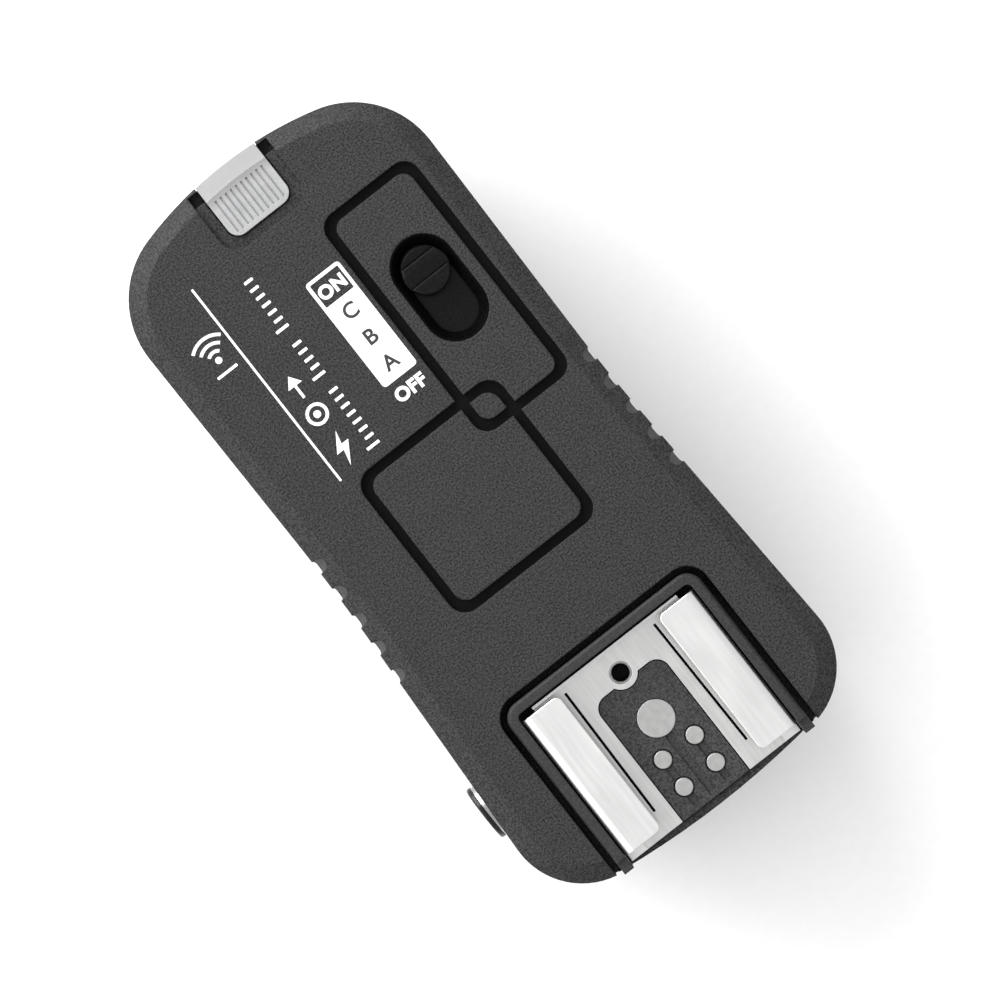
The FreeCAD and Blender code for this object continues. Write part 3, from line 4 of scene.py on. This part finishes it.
import bpy
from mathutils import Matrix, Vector


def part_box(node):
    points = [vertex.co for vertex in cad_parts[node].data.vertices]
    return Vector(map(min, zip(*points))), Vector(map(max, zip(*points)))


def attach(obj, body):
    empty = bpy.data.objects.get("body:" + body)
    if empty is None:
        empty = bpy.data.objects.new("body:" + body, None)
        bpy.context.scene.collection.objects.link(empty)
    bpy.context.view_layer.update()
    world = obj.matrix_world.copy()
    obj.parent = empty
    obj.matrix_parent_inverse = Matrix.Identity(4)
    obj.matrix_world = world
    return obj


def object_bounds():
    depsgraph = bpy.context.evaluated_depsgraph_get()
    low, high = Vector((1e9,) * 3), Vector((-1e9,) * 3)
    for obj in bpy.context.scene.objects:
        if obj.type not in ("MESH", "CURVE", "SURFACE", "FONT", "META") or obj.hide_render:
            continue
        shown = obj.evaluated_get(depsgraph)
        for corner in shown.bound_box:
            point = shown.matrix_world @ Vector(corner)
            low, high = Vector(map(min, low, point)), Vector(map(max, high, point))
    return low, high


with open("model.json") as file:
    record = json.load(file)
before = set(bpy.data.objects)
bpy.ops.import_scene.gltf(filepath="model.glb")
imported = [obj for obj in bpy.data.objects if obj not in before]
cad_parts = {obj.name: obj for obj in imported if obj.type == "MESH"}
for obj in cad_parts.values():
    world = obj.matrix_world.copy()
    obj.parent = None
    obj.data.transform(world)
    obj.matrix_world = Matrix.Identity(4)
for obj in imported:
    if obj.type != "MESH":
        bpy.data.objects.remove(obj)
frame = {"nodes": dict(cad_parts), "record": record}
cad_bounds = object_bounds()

MM = 0.001

# ---------------------------------------------------------------- places read from the CAD parts
cover_low, cover_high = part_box("top_cover")
pad_low, pad_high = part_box("centre_contact")
insert_low, insert_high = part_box("tripod_insert")
cells_low, cells_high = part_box("battery_cells")
lens_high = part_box("status_lens")[1]
spring_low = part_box("shoe_spring")[0]
collar_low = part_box("jack_collar")[0]

cover_top = cover_high.z
shoe_centre = (pad_low + pad_high) / 2

# ---------------------------------------------------------------- where the painted finishes and the painted shade change, in mm
GROOVE_X = (-12.0, 15.6)         # the two frames' grooves on the cover
GROOVE_Y = (19.0, 61.5)
GROOVE_FLOOR = 1.5               # the black lies between these depths under the cover's top
GROOVE_LIP = 0.16
PIN_HOLE_X = (-1.2, 1.2)         # painted shade at the bottom of the lock-pin hole under the shoe
PIN_HOLE_Y = (4.6, 7.2)
PIN_HOLE_TOP = 27.0
SLIT_X = (5.5, 6.2)              # painted shade either side of the middle, under the leaf spring's slits
SLIT_Y = (-7.6, 7.9)
COLLAR_RIM = 0.5                 # length of the blackened rim of the jack's collar
CELL_BAND = 13.0                 # length of the metallic band on a cell
WINDOW_BEND = (3.6, 1.6)         # the window turns greyer between these distances from its outer end


# ================================================================ procedural materials

def node(tree, kind, **settings):
    made = tree.nodes.new(kind)
    for key, value in settings.items():
        setattr(made, key, value)
    return made


def math_node(tree, operation, first, second):
    made = node(tree, "ShaderNodeMath", operation=operation)
    for index, value in enumerate((first, second)):
        if isinstance(value, (int, float)):
            made.inputs[index].default_value = value
        else:
            tree.links.new(value, made.inputs[index])
    return made.outputs[0]


def ramp(tree, factor, low, high, low_colour, high_colour):
    """Colour that runs from the first to the second between two values of the factor."""
    made = node(tree, "ShaderNodeValToRGB")
    made.color_ramp.elements[0].position = low
    made.color_ramp.elements[1].position = high
    made.color_ramp.elements[0].color = (*low_colour, 1)
    made.color_ramp.elements[1].color = (*high_colour, 1)
    tree.links.new(factor, made.inputs[0])
    return made.outputs[0]


def spread_range(tree, factor, low, high):
    """Value that runs between two limits over the middle of the noise's range."""
    made = node(tree, "ShaderNodeMapRange")
    made.inputs["From Min"].default_value = 0.3
    made.inputs["From Max"].default_value = 0.7
    made.inputs["To Min"].default_value = low
    made.inputs["To Max"].default_value = high
    tree.links.new(factor, made.inputs["Value"])
    return made.outputs[0]


def noise(tree, coords, scale, detail=3.0, stretch=(1, 1, 1)):
    mapping = node(tree, "ShaderNodeMapping")
    mapping.inputs["Scale"].default_value = stretch
    tree.links.new(coords, mapping.inputs["Vector"])
    made = node(tree, "ShaderNodeTexNoise")
    made.inputs["Scale"].default_value = scale
    made.inputs["Detail"].default_value = detail
    tree.links.new(mapping.outputs[0], made.inputs["Vector"])
    return made.outputs["Fac"]


CLOUD_RATIO = 14              # the broad noise is this much coarser than the fine grain
GRAIN_RANGE = (0.36, 0.64)    # noise values that take the darkest and the lightest tint


def surface(name, colour, roughness, metallic=0.0, grain=2600.0, grain_depth=0.02, spread=0.12,
            rough_spread=0.06, stretch=(1, 1, 1), edge=0.10, paint=None, coat=0.0, specular=0.5,
            cloud=0.3):
    """One finish: a fine grain in colour, roughness and height, with softly rounded edges.
    grain is the noise scale, cloud is the broad noise's share, and edge and grain_depth are in millimetres.
    paint, when given, takes the tree, the coordinates and the plain colour, and returns the painted colour."""
    material = bpy.data.materials.new(name)
    material.use_nodes = True
    tree = material.node_tree
    shader = tree.nodes["Principled BSDF"]
    shader.inputs["Metallic"].default_value = metallic
    shader.inputs["Coat Weight"].default_value = coat
    shader.inputs["Specular IOR Level"].default_value = specular
    coords = node(tree, "ShaderNodeTexCoord").outputs["Object"]
    fine = noise(tree, coords, grain, 4.0, stretch)
    broad = noise(tree, coords, grain / CLOUD_RATIO, 2.0)
    fine_part = math_node(tree, "MULTIPLY", fine, 1 - cloud)
    broad_part = math_node(tree, "MULTIPLY", broad, cloud)
    mixed = math_node(tree, "ADD", fine_part, broad_part)
    dark = [value * (1 - spread) for value in colour]
    light = [min(1.0, value * (1 + spread)) for value in colour]
    tint = ramp(tree, mixed, *GRAIN_RANGE, dark, light)
    if paint:
        tint = paint(tree, coords, tint)
    tree.links.new(tint, shader.inputs["Base Color"])
    tree.links.new(spread_range(tree, mixed, roughness - rough_spread, roughness + rough_spread),
                   shader.inputs["Roughness"])
    rounded = node(tree, "ShaderNodeBevel", samples=6)
    rounded.inputs["Radius"].default_value = edge * MM
    bump = node(tree, "ShaderNodeBump")
    bump.inputs["Strength"].default_value = 1.0
    bump.inputs["Distance"].default_value = grain_depth * MM
    tree.links.new(fine, bump.inputs["Height"])
    tree.links.new(rounded.outputs[0], bump.inputs["Normal"])
    tree.links.new(bump.outputs[0], shader.inputs["Normal"])
    return material


def axis_value(tree, coords, axis):
    made = node(tree, "ShaderNodeSeparateXYZ")
    tree.links.new(coords, made.inputs[0])
    return made.outputs[axis]


def blend_colour(tree, factor, first, second):
    made = node(tree, "ShaderNodeMix", data_type="RGBA")
    tree.links.new(factor, made.inputs["Factor"])
    tree.links.new(first, made.inputs["A"])
    if isinstance(second, tuple):
        made.inputs["B"].default_value = (*second, 1)
    else:
        tree.links.new(second, made.inputs["B"])
    return made.outputs["Result"]


def inside(tree, value, low, high):
    """1 between the two limits, in metres, and 0 elsewhere."""
    above = math_node(tree, "GREATER_THAN", value, low)
    below = math_node(tree, "LESS_THAN", value, high)
    return math_node(tree, "MULTIPLY", above, below)


def inside_area(tree, x, y, span_x, span_y):
    """1 inside a rectangle given by two spans in millimetres, and 0 elsewhere."""
    across = inside(tree, x, span_x[0] * MM, span_x[1] * MM)
    along = inside(tree, y, span_y[0] * MM, span_y[1] * MM)
    return math_node(tree, "MULTIPLY", across, along)


def black_grooves_and_hole_shade(tree, coords, plain):
    """The two frames' grooves are black, and the bottom of the lock-pin hole is painted black as painted
    shade.
    """
    x = axis_value(tree, coords, 0)
    y = axis_value(tree, coords, 1)
    z = axis_value(tree, coords, 2)
    deep = inside(tree, z, cover_top - GROOVE_FLOOR * MM, cover_top - GROOVE_LIP * MM)
    grooves = math_node(tree, "MULTIPLY", deep, inside_area(tree, x, y, GROOVE_X, GROOVE_Y))
    # painted shade: the bottom of the lock-pin hole is made black
    under = math_node(tree, "LESS_THAN", z, PIN_HOLE_TOP * MM)
    hole = math_node(tree, "MULTIPLY", inside_area(tree, x, y, PIN_HOLE_X, PIN_HOLE_Y), under)
    return blend_colour(tree, math_node(tree, "MAXIMUM", grooves, hole), plain, (0.0012, 0.0012, 0.0012))


def painted_slit_shade(tree, coords, plain):
    """Painted shade: the shoe's floor is dark under the slits of the leaf spring."""
    x = math_node(tree, "ABSOLUTE", axis_value(tree, coords, 0), 0.0)
    y = axis_value(tree, coords, 1)
    z = axis_value(tree, coords, 2)
    low = math_node(tree, "LESS_THAN", z, spring_low.z + 0.05 * MM)
    under = inside_area(tree, x, y, SLIT_X, SLIT_Y)
    # painted shade: near-black colour on the floor under the slits
    return blend_colour(tree, math_node(tree, "MULTIPLY", low, under), plain, (0.004, 0.004, 0.004))


def collar_paint(tree, coords, plain):
    """Blackened rim on the outer end of the jack's collar."""
    x = axis_value(tree, coords, 0)
    rim = math_node(tree, "LESS_THAN", x, collar_low.x + COLLAR_RIM * MM)
    return blend_colour(tree, rim, plain, (0.035, 0.035, 0.036))


def cell_paint(tree, coords, plain):
    """Generic printed wrap: a metallic band at one end of each cell, the two cells lying opposite ways."""
    x = axis_value(tree, coords, 0)
    y = axis_value(tree, coords, 1)
    left = math_node(tree, "LESS_THAN", x, 0.0)
    right = math_node(tree, "GREATER_THAN", x, 0.0)
    far_end = math_node(tree, "GREATER_THAN", y, cells_high.y - CELL_BAND * MM)
    near_end = math_node(tree, "LESS_THAN", y, cells_low.y + CELL_BAND * MM)
    far = math_node(tree, "MULTIPLY", left, far_end)
    close = math_node(tree, "MULTIPLY", right, near_end)
    return blend_colour(tree, math_node(tree, "ADD", far, close), plain, (0.48, 0.30, 0.10))


def board_paint(tree, coords, plain):
    """Faint copper tracks under the solder mask."""
    tracks = node(tree, "ShaderNodeTexBrick")
    tracks.inputs["Scale"].default_value = 260.0
    tracks.inputs["Mortar Size"].default_value = 0.035
    tree.links.new(coords, tracks.inputs["Vector"])
    return blend_colour(tree, tracks.outputs["Fac"], plain, (0.05, 0.24, 0.10))


def lens_paint(tree, coords, plain):
    """The window is greyer from the bend outwards, where it follows the bevel down."""
    y = axis_value(tree, coords, 1)
    made = node(tree, "ShaderNodeMapRange", interpolation_type="SMOOTHSTEP")
    made.inputs["From Min"].default_value = lens_high.y - WINDOW_BEND[0] * MM
    made.inputs["From Max"].default_value = lens_high.y - WINDOW_BEND[1] * MM
    made.inputs["To Min"].default_value = 0.0
    made.inputs["To Max"].default_value = 1.0
    tree.links.new(y, made.inputs["Value"])
    return blend_colour(tree, made.outputs[0], plain, (0.245, 0.245, 0.247))


def lens_material():
    """Frosted light guide: pale, slightly translucent and softly glossy."""
    material = surface("lens_plastic", (0.40, 0.402, 0.406), 0.38, grain=1100.0, grain_depth=0.006,
                       spread=0.07, edge=0.10, paint=lens_paint, specular=0.25)
    shader = material.node_tree.nodes["Principled BSDF"]
    shader.inputs["Transmission Weight"].default_value = 0.12
    shader.inputs["IOR"].default_value = 1.49
    shader.inputs["Subsurface Weight"].default_value = 0.25
    shader.inputs["Subsurface Radius"].default_value = (0.5, 0.5, 0.5)
    shader.inputs["Subsurface Scale"].default_value = 1.2 * MM
    return material


BRUSH = (1.0, 0.06, 1.0)      # stretches the grain along the case

FINISHES = {
    # the cover's paint holds the black grooves and painted shade at the bottom of the lock-pin hole
    "cover_plastic": dict(colour=(0.032, 0.032, 0.0326), roughness=0.62, grain=5000, grain_depth=0.055,
                          spread=0.62, cloud=0.06, paint=black_grooves_and_hole_shade, edge=0.28, specular=0.12),
    "shell_plastic": dict(colour=(0.027, 0.027, 0.0275), roughness=0.62, grain=5000, grain_depth=0.055,
                          spread=0.55, cloud=0.06, edge=0.20, specular=0.18),
    "door_plastic": dict(colour=(0.028, 0.028, 0.0285), roughness=0.62, grain=5000, grain_depth=0.055,
                         spread=0.55, cloud=0.06, edge=0.20, specular=0.18),
    "bezel_plastic": dict(colour=(0.022, 0.022, 0.0225), roughness=0.50, grain=4600, grain_depth=0.030,
                          spread=0.40, cloud=0.06, edge=0.20, specular=0.35),
    "block_plastic": dict(colour=(0.044, 0.044, 0.0445), roughness=0.58, grain=4600, grain_depth=0.030,
                          spread=0.50, cloud=0.06, edge=0.08, specular=0.15),
    "rim_plastic": dict(colour=(0.0022, 0.0022, 0.0022), roughness=0.42, grain=4000, grain_depth=0.016,
                        spread=0.50, cloud=0.06, edge=0.22, specular=0.03),
    "knob_plastic": dict(colour=(0.0040, 0.0040, 0.0040), roughness=0.24, grain=4000, grain_depth=0.012,
                         spread=0.40, cloud=0.06, edge=0.14, specular=0.14),
    # the shoe's paint adds painted shade on its floor under the leaf spring's slits
    "shoe_metal": dict(colour=(0.82, 0.82, 0.815), roughness=0.36, metallic=1.0, grain=2200, grain_depth=0.003,
                       spread=0.03, stretch=BRUSH, edge=0.18, paint=painted_slit_shade),
    "spring_metal": dict(colour=(0.67, 0.67, 0.665), roughness=0.34, metallic=1.0, grain=2600,
                         grain_depth=0.003, spread=0.07, stretch=BRUSH, edge=0.06),
    "pad_metal": dict(colour=(0.52, 0.52, 0.515), roughness=0.34, metallic=1.0, grain=1500, grain_depth=0.002,
                      spread=0.05, edge=0.06),
    "collar_metal": dict(colour=(0.46, 0.46, 0.46), roughness=0.24, metallic=1.0, grain=2000,
                         grain_depth=0.002, spread=0.06, paint=collar_paint),
    "screw_steel": dict(colour=(0.60, 0.60, 0.60), roughness=0.30, metallic=1.0, grain=3000,
                        grain_depth=0.003, spread=0.08),
    "black_screw": dict(colour=(0.030, 0.030, 0.031), roughness=0.36, metallic=1.0, grain=3000,
                        grain_depth=0.004),
    "insert_brass": dict(colour=(0.78, 0.56, 0.25), roughness=0.28, metallic=1.0, grain=2600,
                         grain_depth=0.004, spread=0.08),
    "ring_plastic": dict(colour=(0.018, 0.018, 0.018), roughness=0.48, grain=3200, grain_depth=0.020,
                         spread=0.25, specular=0.35),
    "foot_plastic": dict(colour=(0.020, 0.020, 0.020), roughness=0.50, grain=3200, grain_depth=0.020,
                         spread=0.25, specular=0.35),
    "led_resin": dict(colour=(0.70, 0.70, 0.66), roughness=0.15, grain=2000, grain_depth=0.002, coat=0.4),
    "cell_wrap": dict(colour=(0.016, 0.018, 0.024), roughness=0.24, grain=1400, grain_depth=0.004,
                      paint=cell_paint, coat=0.4),
    "contact_steel": dict(colour=(0.68, 0.68, 0.67), roughness=0.28, metallic=1.0, grain=2600,
                          grain_depth=0.003),
    "board_laminate": dict(colour=(0.012, 0.11, 0.045), roughness=0.35, grain=1800, grain_depth=0.004,
                           paint=board_paint),
    "module_laminate": dict(colour=(0.012, 0.030, 0.11), roughness=0.35, grain=1800, grain_depth=0.004,
                            paint=board_paint),
    "tin_plate": dict(colour=(0.64, 0.64, 0.63), roughness=0.33, metallic=1.0, grain=2000, grain_depth=0.005),
    "antenna_wire": dict(colour=(0.72, 0.34, 0.18), roughness=0.28, metallic=1.0, grain=2000,
                         grain_depth=0.003),
    "chip_plastic": dict(colour=(0.014, 0.014, 0.014), roughness=0.55, grain=3000, grain_depth=0.012),
    "capacitor_can": dict(colour=(0.70, 0.70, 0.71), roughness=0.28, metallic=1.0, grain=2000,
                          grain_depth=0.003),
}


def finish_nodes():
    """Gives every CAD node the finish of its material slot."""
    materials = {slot: surface(slot, **settings) for slot, settings in FINISHES.items()}
    materials["lens_plastic"] = lens_material()
    for part in frame["record"]["subparts"]:
        shown = frame["nodes"][part["node"]]
        chosen = materials[part["material_slot"]]
        if not shown.material_slots:
            shown.data.materials.append(chosen)
        for held in shown.material_slots:
            held.material = chosen
    return materials


materials = finish_nodes()
white_print = surface("white_print", (0.86, 0.86, 0.86), 0.55, grain=3300, grain_depth=0.012, spread=0.03,
                      edge=0.01)
dark_print = surface("dark_print", (0.022, 0.022, 0.023), 0.55, grain=3300, grain_depth=0.012, spread=0.10,
                     edge=0.01)


# ================================================================ printed marks on the cover

PRINT_BASE = cover_top - 0.01 * MM       # the ink is sunk a little, so no gap shows under it
PRINT_HEIGHT = 0.03 * MM
LETTER_SINK = 0.005 * MM                 # the group letters lie on the panel, sunk into it a little
LETTER_HEIGHT = 0.015 * MM
CAP_SHARE = 0.70                         # height of a capital letter, as a share of the type size


def place_print(curve_object, name, material, base, height):
    """Turns a flat filled curve into a thin closed mesh that rides on the case."""
    curve_object.data.extrude = height / 2
    curve_object.location.z = base + height / 2
    bpy.context.view_layer.update()
    evaluated = curve_object.evaluated_get(bpy.context.evaluated_depsgraph_get())
    mesh = bpy.data.meshes.new_from_object(evaluated)
    mesh.transform(curve_object.matrix_world)
    bpy.data.objects.remove(curve_object)
    piece = bpy.data.objects.new(name, mesh)
    bpy.context.scene.collection.objects.link(piece)
    mesh.materials.clear()
    mesh.materials.append(material)
    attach(piece, "case")
    return piece


def shape_print(name, outlines, material, base=PRINT_BASE, height=PRINT_HEIGHT):
    """Print made of closed outlines in millimetres; an outline inside another is a hole."""
    curve = bpy.data.curves.new(name, "CURVE")
    curve.dimensions = "2D"
    curve.fill_mode = "BOTH"
    for outline in outlines:
        spline = curve.splines.new("POLY")
        spline.points.add(len(outline) - 1)
        for point, (x, y) in zip(spline.points, outline):
            point.co = (x * MM, y * MM, 0, 1)
        spline.use_cyclic_u = True
    made = bpy.data.objects.new(name, curve)
    bpy.context.scene.collection.objects.link(made)
    return place_print(made, name, material, base, height)


def letter_print(name, text, x, y, cap_height, material, weight=0.0, spacing=1.0, base=PRINT_BASE,
                 height=PRINT_HEIGHT):
    """Generic switch lettering, centred on x, y, in millimetres."""
    curve = bpy.data.curves.new(name, "FONT")
    curve.body = text
    curve.align_x = "CENTER"
    curve.align_y = "CENTER"
    curve.size = cap_height / CAP_SHARE * MM
    curve.offset = weight * MM
    curve.space_character = spacing
    curve.fill_mode = "BOTH"
    made = bpy.data.objects.new(name, curve)
    bpy.context.scene.collection.objects.link(made)
    made.location = (x * MM, y * MM, 0)
    return place_print(made, name, material, base, height)


def rounded_outline(x0, x1, y0, y1, radius, steps=6):
    points = []
    corners = ((x1 - radius, y1 - radius, 0), (x0 + radius, y1 - radius, 90),
               (x0 + radius, y0 + radius, 180), (x1 - radius, y0 + radius, 270))
    for cx, cy, start in corners:
        for step in range(steps + 1):
            angle = math.radians(start + 90 * step / steps)
            points.append((cx + radius * math.cos(angle), cy + radius * math.sin(angle)))
    return points


def arc_outline(cx, cy, radius, width, start, end, steps=16):
    """Thick arc with square ends; angles in degrees from +X."""
    angles = [math.radians(start + (end - start) * step / steps) for step in range(steps + 1)]
    outside = radius + width / 2
    inside_radius = radius - width / 2
    outer = [(cx + outside * math.cos(a), cy + outside * math.sin(a)) for a in angles]
    inner = [(cx + inside_radius * math.cos(a), cy + inside_radius * math.sin(a)) for a in angles]
    return outer + inner[::-1]


def disc_outline(cx, cy, radius, steps=20):
    angles = [2 * math.pi * step / steps for step in range(steps)]
    return [(cx + radius * math.cos(a), cy + radius * math.sin(a)) for a in angles]


# The switch's legend: a white panel with a dark window for ON, letters for the groups, and OFF below it.
PANEL_X = (-1.10, 3.15)
PANEL_Y = (43.35, 56.5)
WINDOW_X = (-0.72, 2.80)
WINDOW_Y = (53.35, 56.12)
LEGEND_X = (PANEL_X[0] + PANEL_X[1]) / 2
panel = [rounded_outline(*PANEL_X, *PANEL_Y, 0.4), rounded_outline(*WINDOW_X, *WINDOW_Y, 0.12)]
shape_print("legend_panel", panel, white_print)
letter_print("legend_on", "ON", LEGEND_X, 54.62, 1.35, white_print, weight=0.09, spacing=1.08)
letter_print("legend_off", "OFF", LEGEND_X - 0.02, 41.75, 1.35, white_print, weight=0.09, spacing=1.08)
GROUP_PLACES = {"C": 51.6, "B": 48.3, "A": 45.1}
for letter, place in GROUP_PLACES.items():
    letter_print("legend_group_" + letter.lower(), letter, LEGEND_X, place, 1.6, dark_print, weight=0.045,
                 base=PRINT_BASE + PRINT_HEIGHT - LETTER_SINK, height=LETTER_HEIGHT)

# The pinstripe, and generic signs in place of the wording beside it.
shape_print("pinstripe", [rounded_outline(-10.42, -10.18, 38.7, 63.2, 0.05, 2)], white_print)


def signal_sign(name, x, y, turn, scale):
    """Radio waves: a dot and three arcs that open towards the turn angle."""
    outlines = [disc_outline(x, y, 0.32 * scale)]
    for index in range(3):
        radius = (0.85 + 0.72 * index) * scale
        outlines.append(arc_outline(x, y, radius, 0.30 * scale, turn - 42, turn + 42))
    return shape_print(name, outlines, white_print)


def bolt_outline(x, y, scale):
    """Lightning bolt, pointing to -Y."""
    shape = ((0.35, 1.5), (-0.75, -0.15), (-0.08, -0.15), (-0.40, -1.5), (0.75, 0.35), (0.08, 0.35))
    return [(x + scale * px, y + scale * py) for px, py in shape]


signal_sign("sign_waves", -12.55, 55.9, 90, 1.15)
shape_print("sign_waves_foot", [rounded_outline(-13.8, -11.3, 54.3, 54.6, 0.1, 2)], white_print)
shape_print("sign_flash", [bolt_outline(-8.05, 41.2, 1.25)], white_print)
shape_print("sign_ring", [disc_outline(-8.05, 45.5, 1.20), disc_outline(-8.05, 45.5, 0.85),
                          disc_outline(-8.05, 45.5, 0.40)], white_print)
shape_print("sign_arrow", [[(-8.2, 47.6), (-7.9, 47.6), (-7.9, 49.1), (-7.2, 49.1), (-8.05, 50.3),
                            (-8.9, 49.1), (-8.2, 49.1)]], white_print)

# A row of plain ticks in three groups, where the wording ran.
TICK_GROUPS = ((39.4, 8), (48.3, 5), (54.3, 7))      # first y and count of each group
TICK_PITCH = 0.98
TICK_EDGE = -4.75
TICK_LENGTH = 1.05
LONG_TICK = 1.55
ticks = []
for first, count in TICK_GROUPS:
    for index in range(count):
        length = LONG_TICK if index == 0 else TICK_LENGTH
        y = first + index * TICK_PITCH
        ticks.append(rounded_outline(TICK_EDGE - length, TICK_EDGE, y, y + 0.32, 0.08, 2))
shape_print("sign_scale", ticks, white_print)


# ================================================================ thread in the tripod insert

THREAD_PITCH = 1.27 * MM         # 20 turns to the inch
THREAD_DEPTH = 0.30 * MM
THREAD_STEPS = 48                # sections in one turn
THREAD_FADE = 10                 # sections over which the ridge grows at each end
THREAD_FOOT = 0.40               # half width at the wall and at the crest, as shares of the pitch
THREAD_CREST = 0.06
THREAD_SINK = 0.02 * MM          # how far the ridge's foot runs into the wall


def helix_thread(name, radius, z0, z1, material):
    """Ridge with sloping flanks that winds up the inside of a bore."""
    turns = (z1 - z0 - THREAD_PITCH) / THREAD_PITCH
    count = int(turns * THREAD_STEPS)
    foot = THREAD_PITCH * THREAD_FOOT
    crest_half = THREAD_PITCH * THREAD_CREST
    wall = radius + THREAD_SINK
    verts = []
    for step in range(count + 1):
        angle = 2 * math.pi * step / THREAD_STEPS
        z = z0 + THREAD_PITCH / 2 + THREAD_PITCH * step / THREAD_STEPS
        grow = min(1.0, step / THREAD_FADE, (count - step) / THREAD_FADE)
        crest = radius - THREAD_DEPTH * grow
        for r, dz in ((wall, -foot), (crest, -crest_half), (crest, crest_half), (wall, foot)):
            verts.append((r * math.cos(angle), r * math.sin(angle), z + dz))
    faces = []
    for step in range(count):
        a = 4 * step
        for k in range(4):
            faces.append((a + k, a + (k + 1) % 4, a + 4 + (k + 1) % 4, a + 4 + k))
    faces.append((3, 2, 1, 0))
    last = 4 * count
    faces.append((last, last + 1, last + 2, last + 3))
    mesh = bpy.data.meshes.new(name)
    mesh.from_pydata(verts, [], faces)
    mesh.update()
    piece = bpy.data.objects.new(name, mesh)
    bpy.context.scene.collection.objects.link(piece)
    mesh.materials.append(material)
    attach(piece, "case")
    return piece


TRIPOD_MOUNT = [mount for mount in frame["record"]["mounts"] if mount["name"] == "tripod_thread"][0]
bore = TRIPOD_MOUNT["dims"]["r_mm"] * MM
helix_thread("insert_thread", bore, insert_low.z + 0.2 * MM, insert_high.z - 0.1 * MM,
             materials["insert_brass"])


# ================================================================ floor, light and camera

FLOOR_HALF = 1.2              # metres
FLOOR_DROP = 0.2 * MM         # the floor lies this far under the foot


def stage_floor():
    mesh = bpy.data.meshes.new("floor")
    half = FLOOR_HALF
    corners = [(-half, -half, 0), (half, -half, 0), (half, half, 0), (-half, half, 0)]
    mesh.from_pydata(corners, [], [(0, 1, 2, 3)])
    floor = bpy.data.objects.new("floor", mesh)
    floor.location.z = cad_bounds[0][2] - FLOOR_DROP
    bpy.context.scene.collection.objects.link(floor)
    paper = surface("floor_paper", (0.93, 0.93, 0.93), 0.85, grain=900, grain_depth=0.01, spread=0.01,
                    edge=0.0)
    mesh.materials.append(paper)


WORLD_STRENGTH = 0.86
# name, place from the middle of the cover's top, side of the square and power
LIGHTS = (("key", (-0.08, 0.42, 0.19), 0.50, 3.9),
          ("fill", (-0.40, 0.14, 0.36), 0.60, 1.8))


def area_light(name, place, aim, size, power):
    data = bpy.data.lights.new(name, "AREA")
    data.shape = "SQUARE"
    data.size = size
    data.energy = power
    light = bpy.data.objects.new(name, data)
    light.location = place
    light.rotation_euler = (Vector(aim) - Vector(place)).to_track_quat("-Z", "Y").to_euler()
    bpy.context.scene.collection.objects.link(light)


def stage_light():
    world = bpy.data.worlds.new("studio")
    world.use_nodes = True
    background = world.node_tree.nodes["Background"]
    background.inputs["Color"].default_value = (1, 1, 1, 1)
    background.inputs["Strength"].default_value = WORLD_STRENGTH
    bpy.context.scene.world = world
    middle = Vector(((cover_low.x + cover_high.x) / 2, (cover_low.y + cover_high.y) / 2, cover_top))
    for name, offset, size, power in LIGHTS:
        area_light(name, middle + Vector(offset), middle, size, power)


VIEW_WIDTH = 101.0 * MM          # width of the picture at the cover's top face
VIEW_TURN = -38.0                # degrees about the vertical
AIM = (1.15 * MM, 27.3 * MM)     # from the centre contact, to the middle of the picture
LENS = 150.0                     # focal length and sensor width, in millimetres of the camera's own scale
SENSOR = 36.0


def stage_camera():
    data = bpy.data.cameras.new("camera")
    data.lens = LENS
    data.sensor_width = SENSOR
    camera = bpy.data.objects.new("camera", data)
    distance = VIEW_WIDTH * LENS / data.sensor_width
    camera.location = (shoe_centre.x + AIM[0], shoe_centre.y + AIM[1], cover_top + distance)
    camera.rotation_euler = (0, 0, math.radians(VIEW_TURN))
    bpy.context.scene.collection.objects.link(camera)
    bpy.context.scene.camera = camera


stage_floor()
stage_light()
stage_camera()
bpy.context.scene.view_settings.view_transform = "Standard"
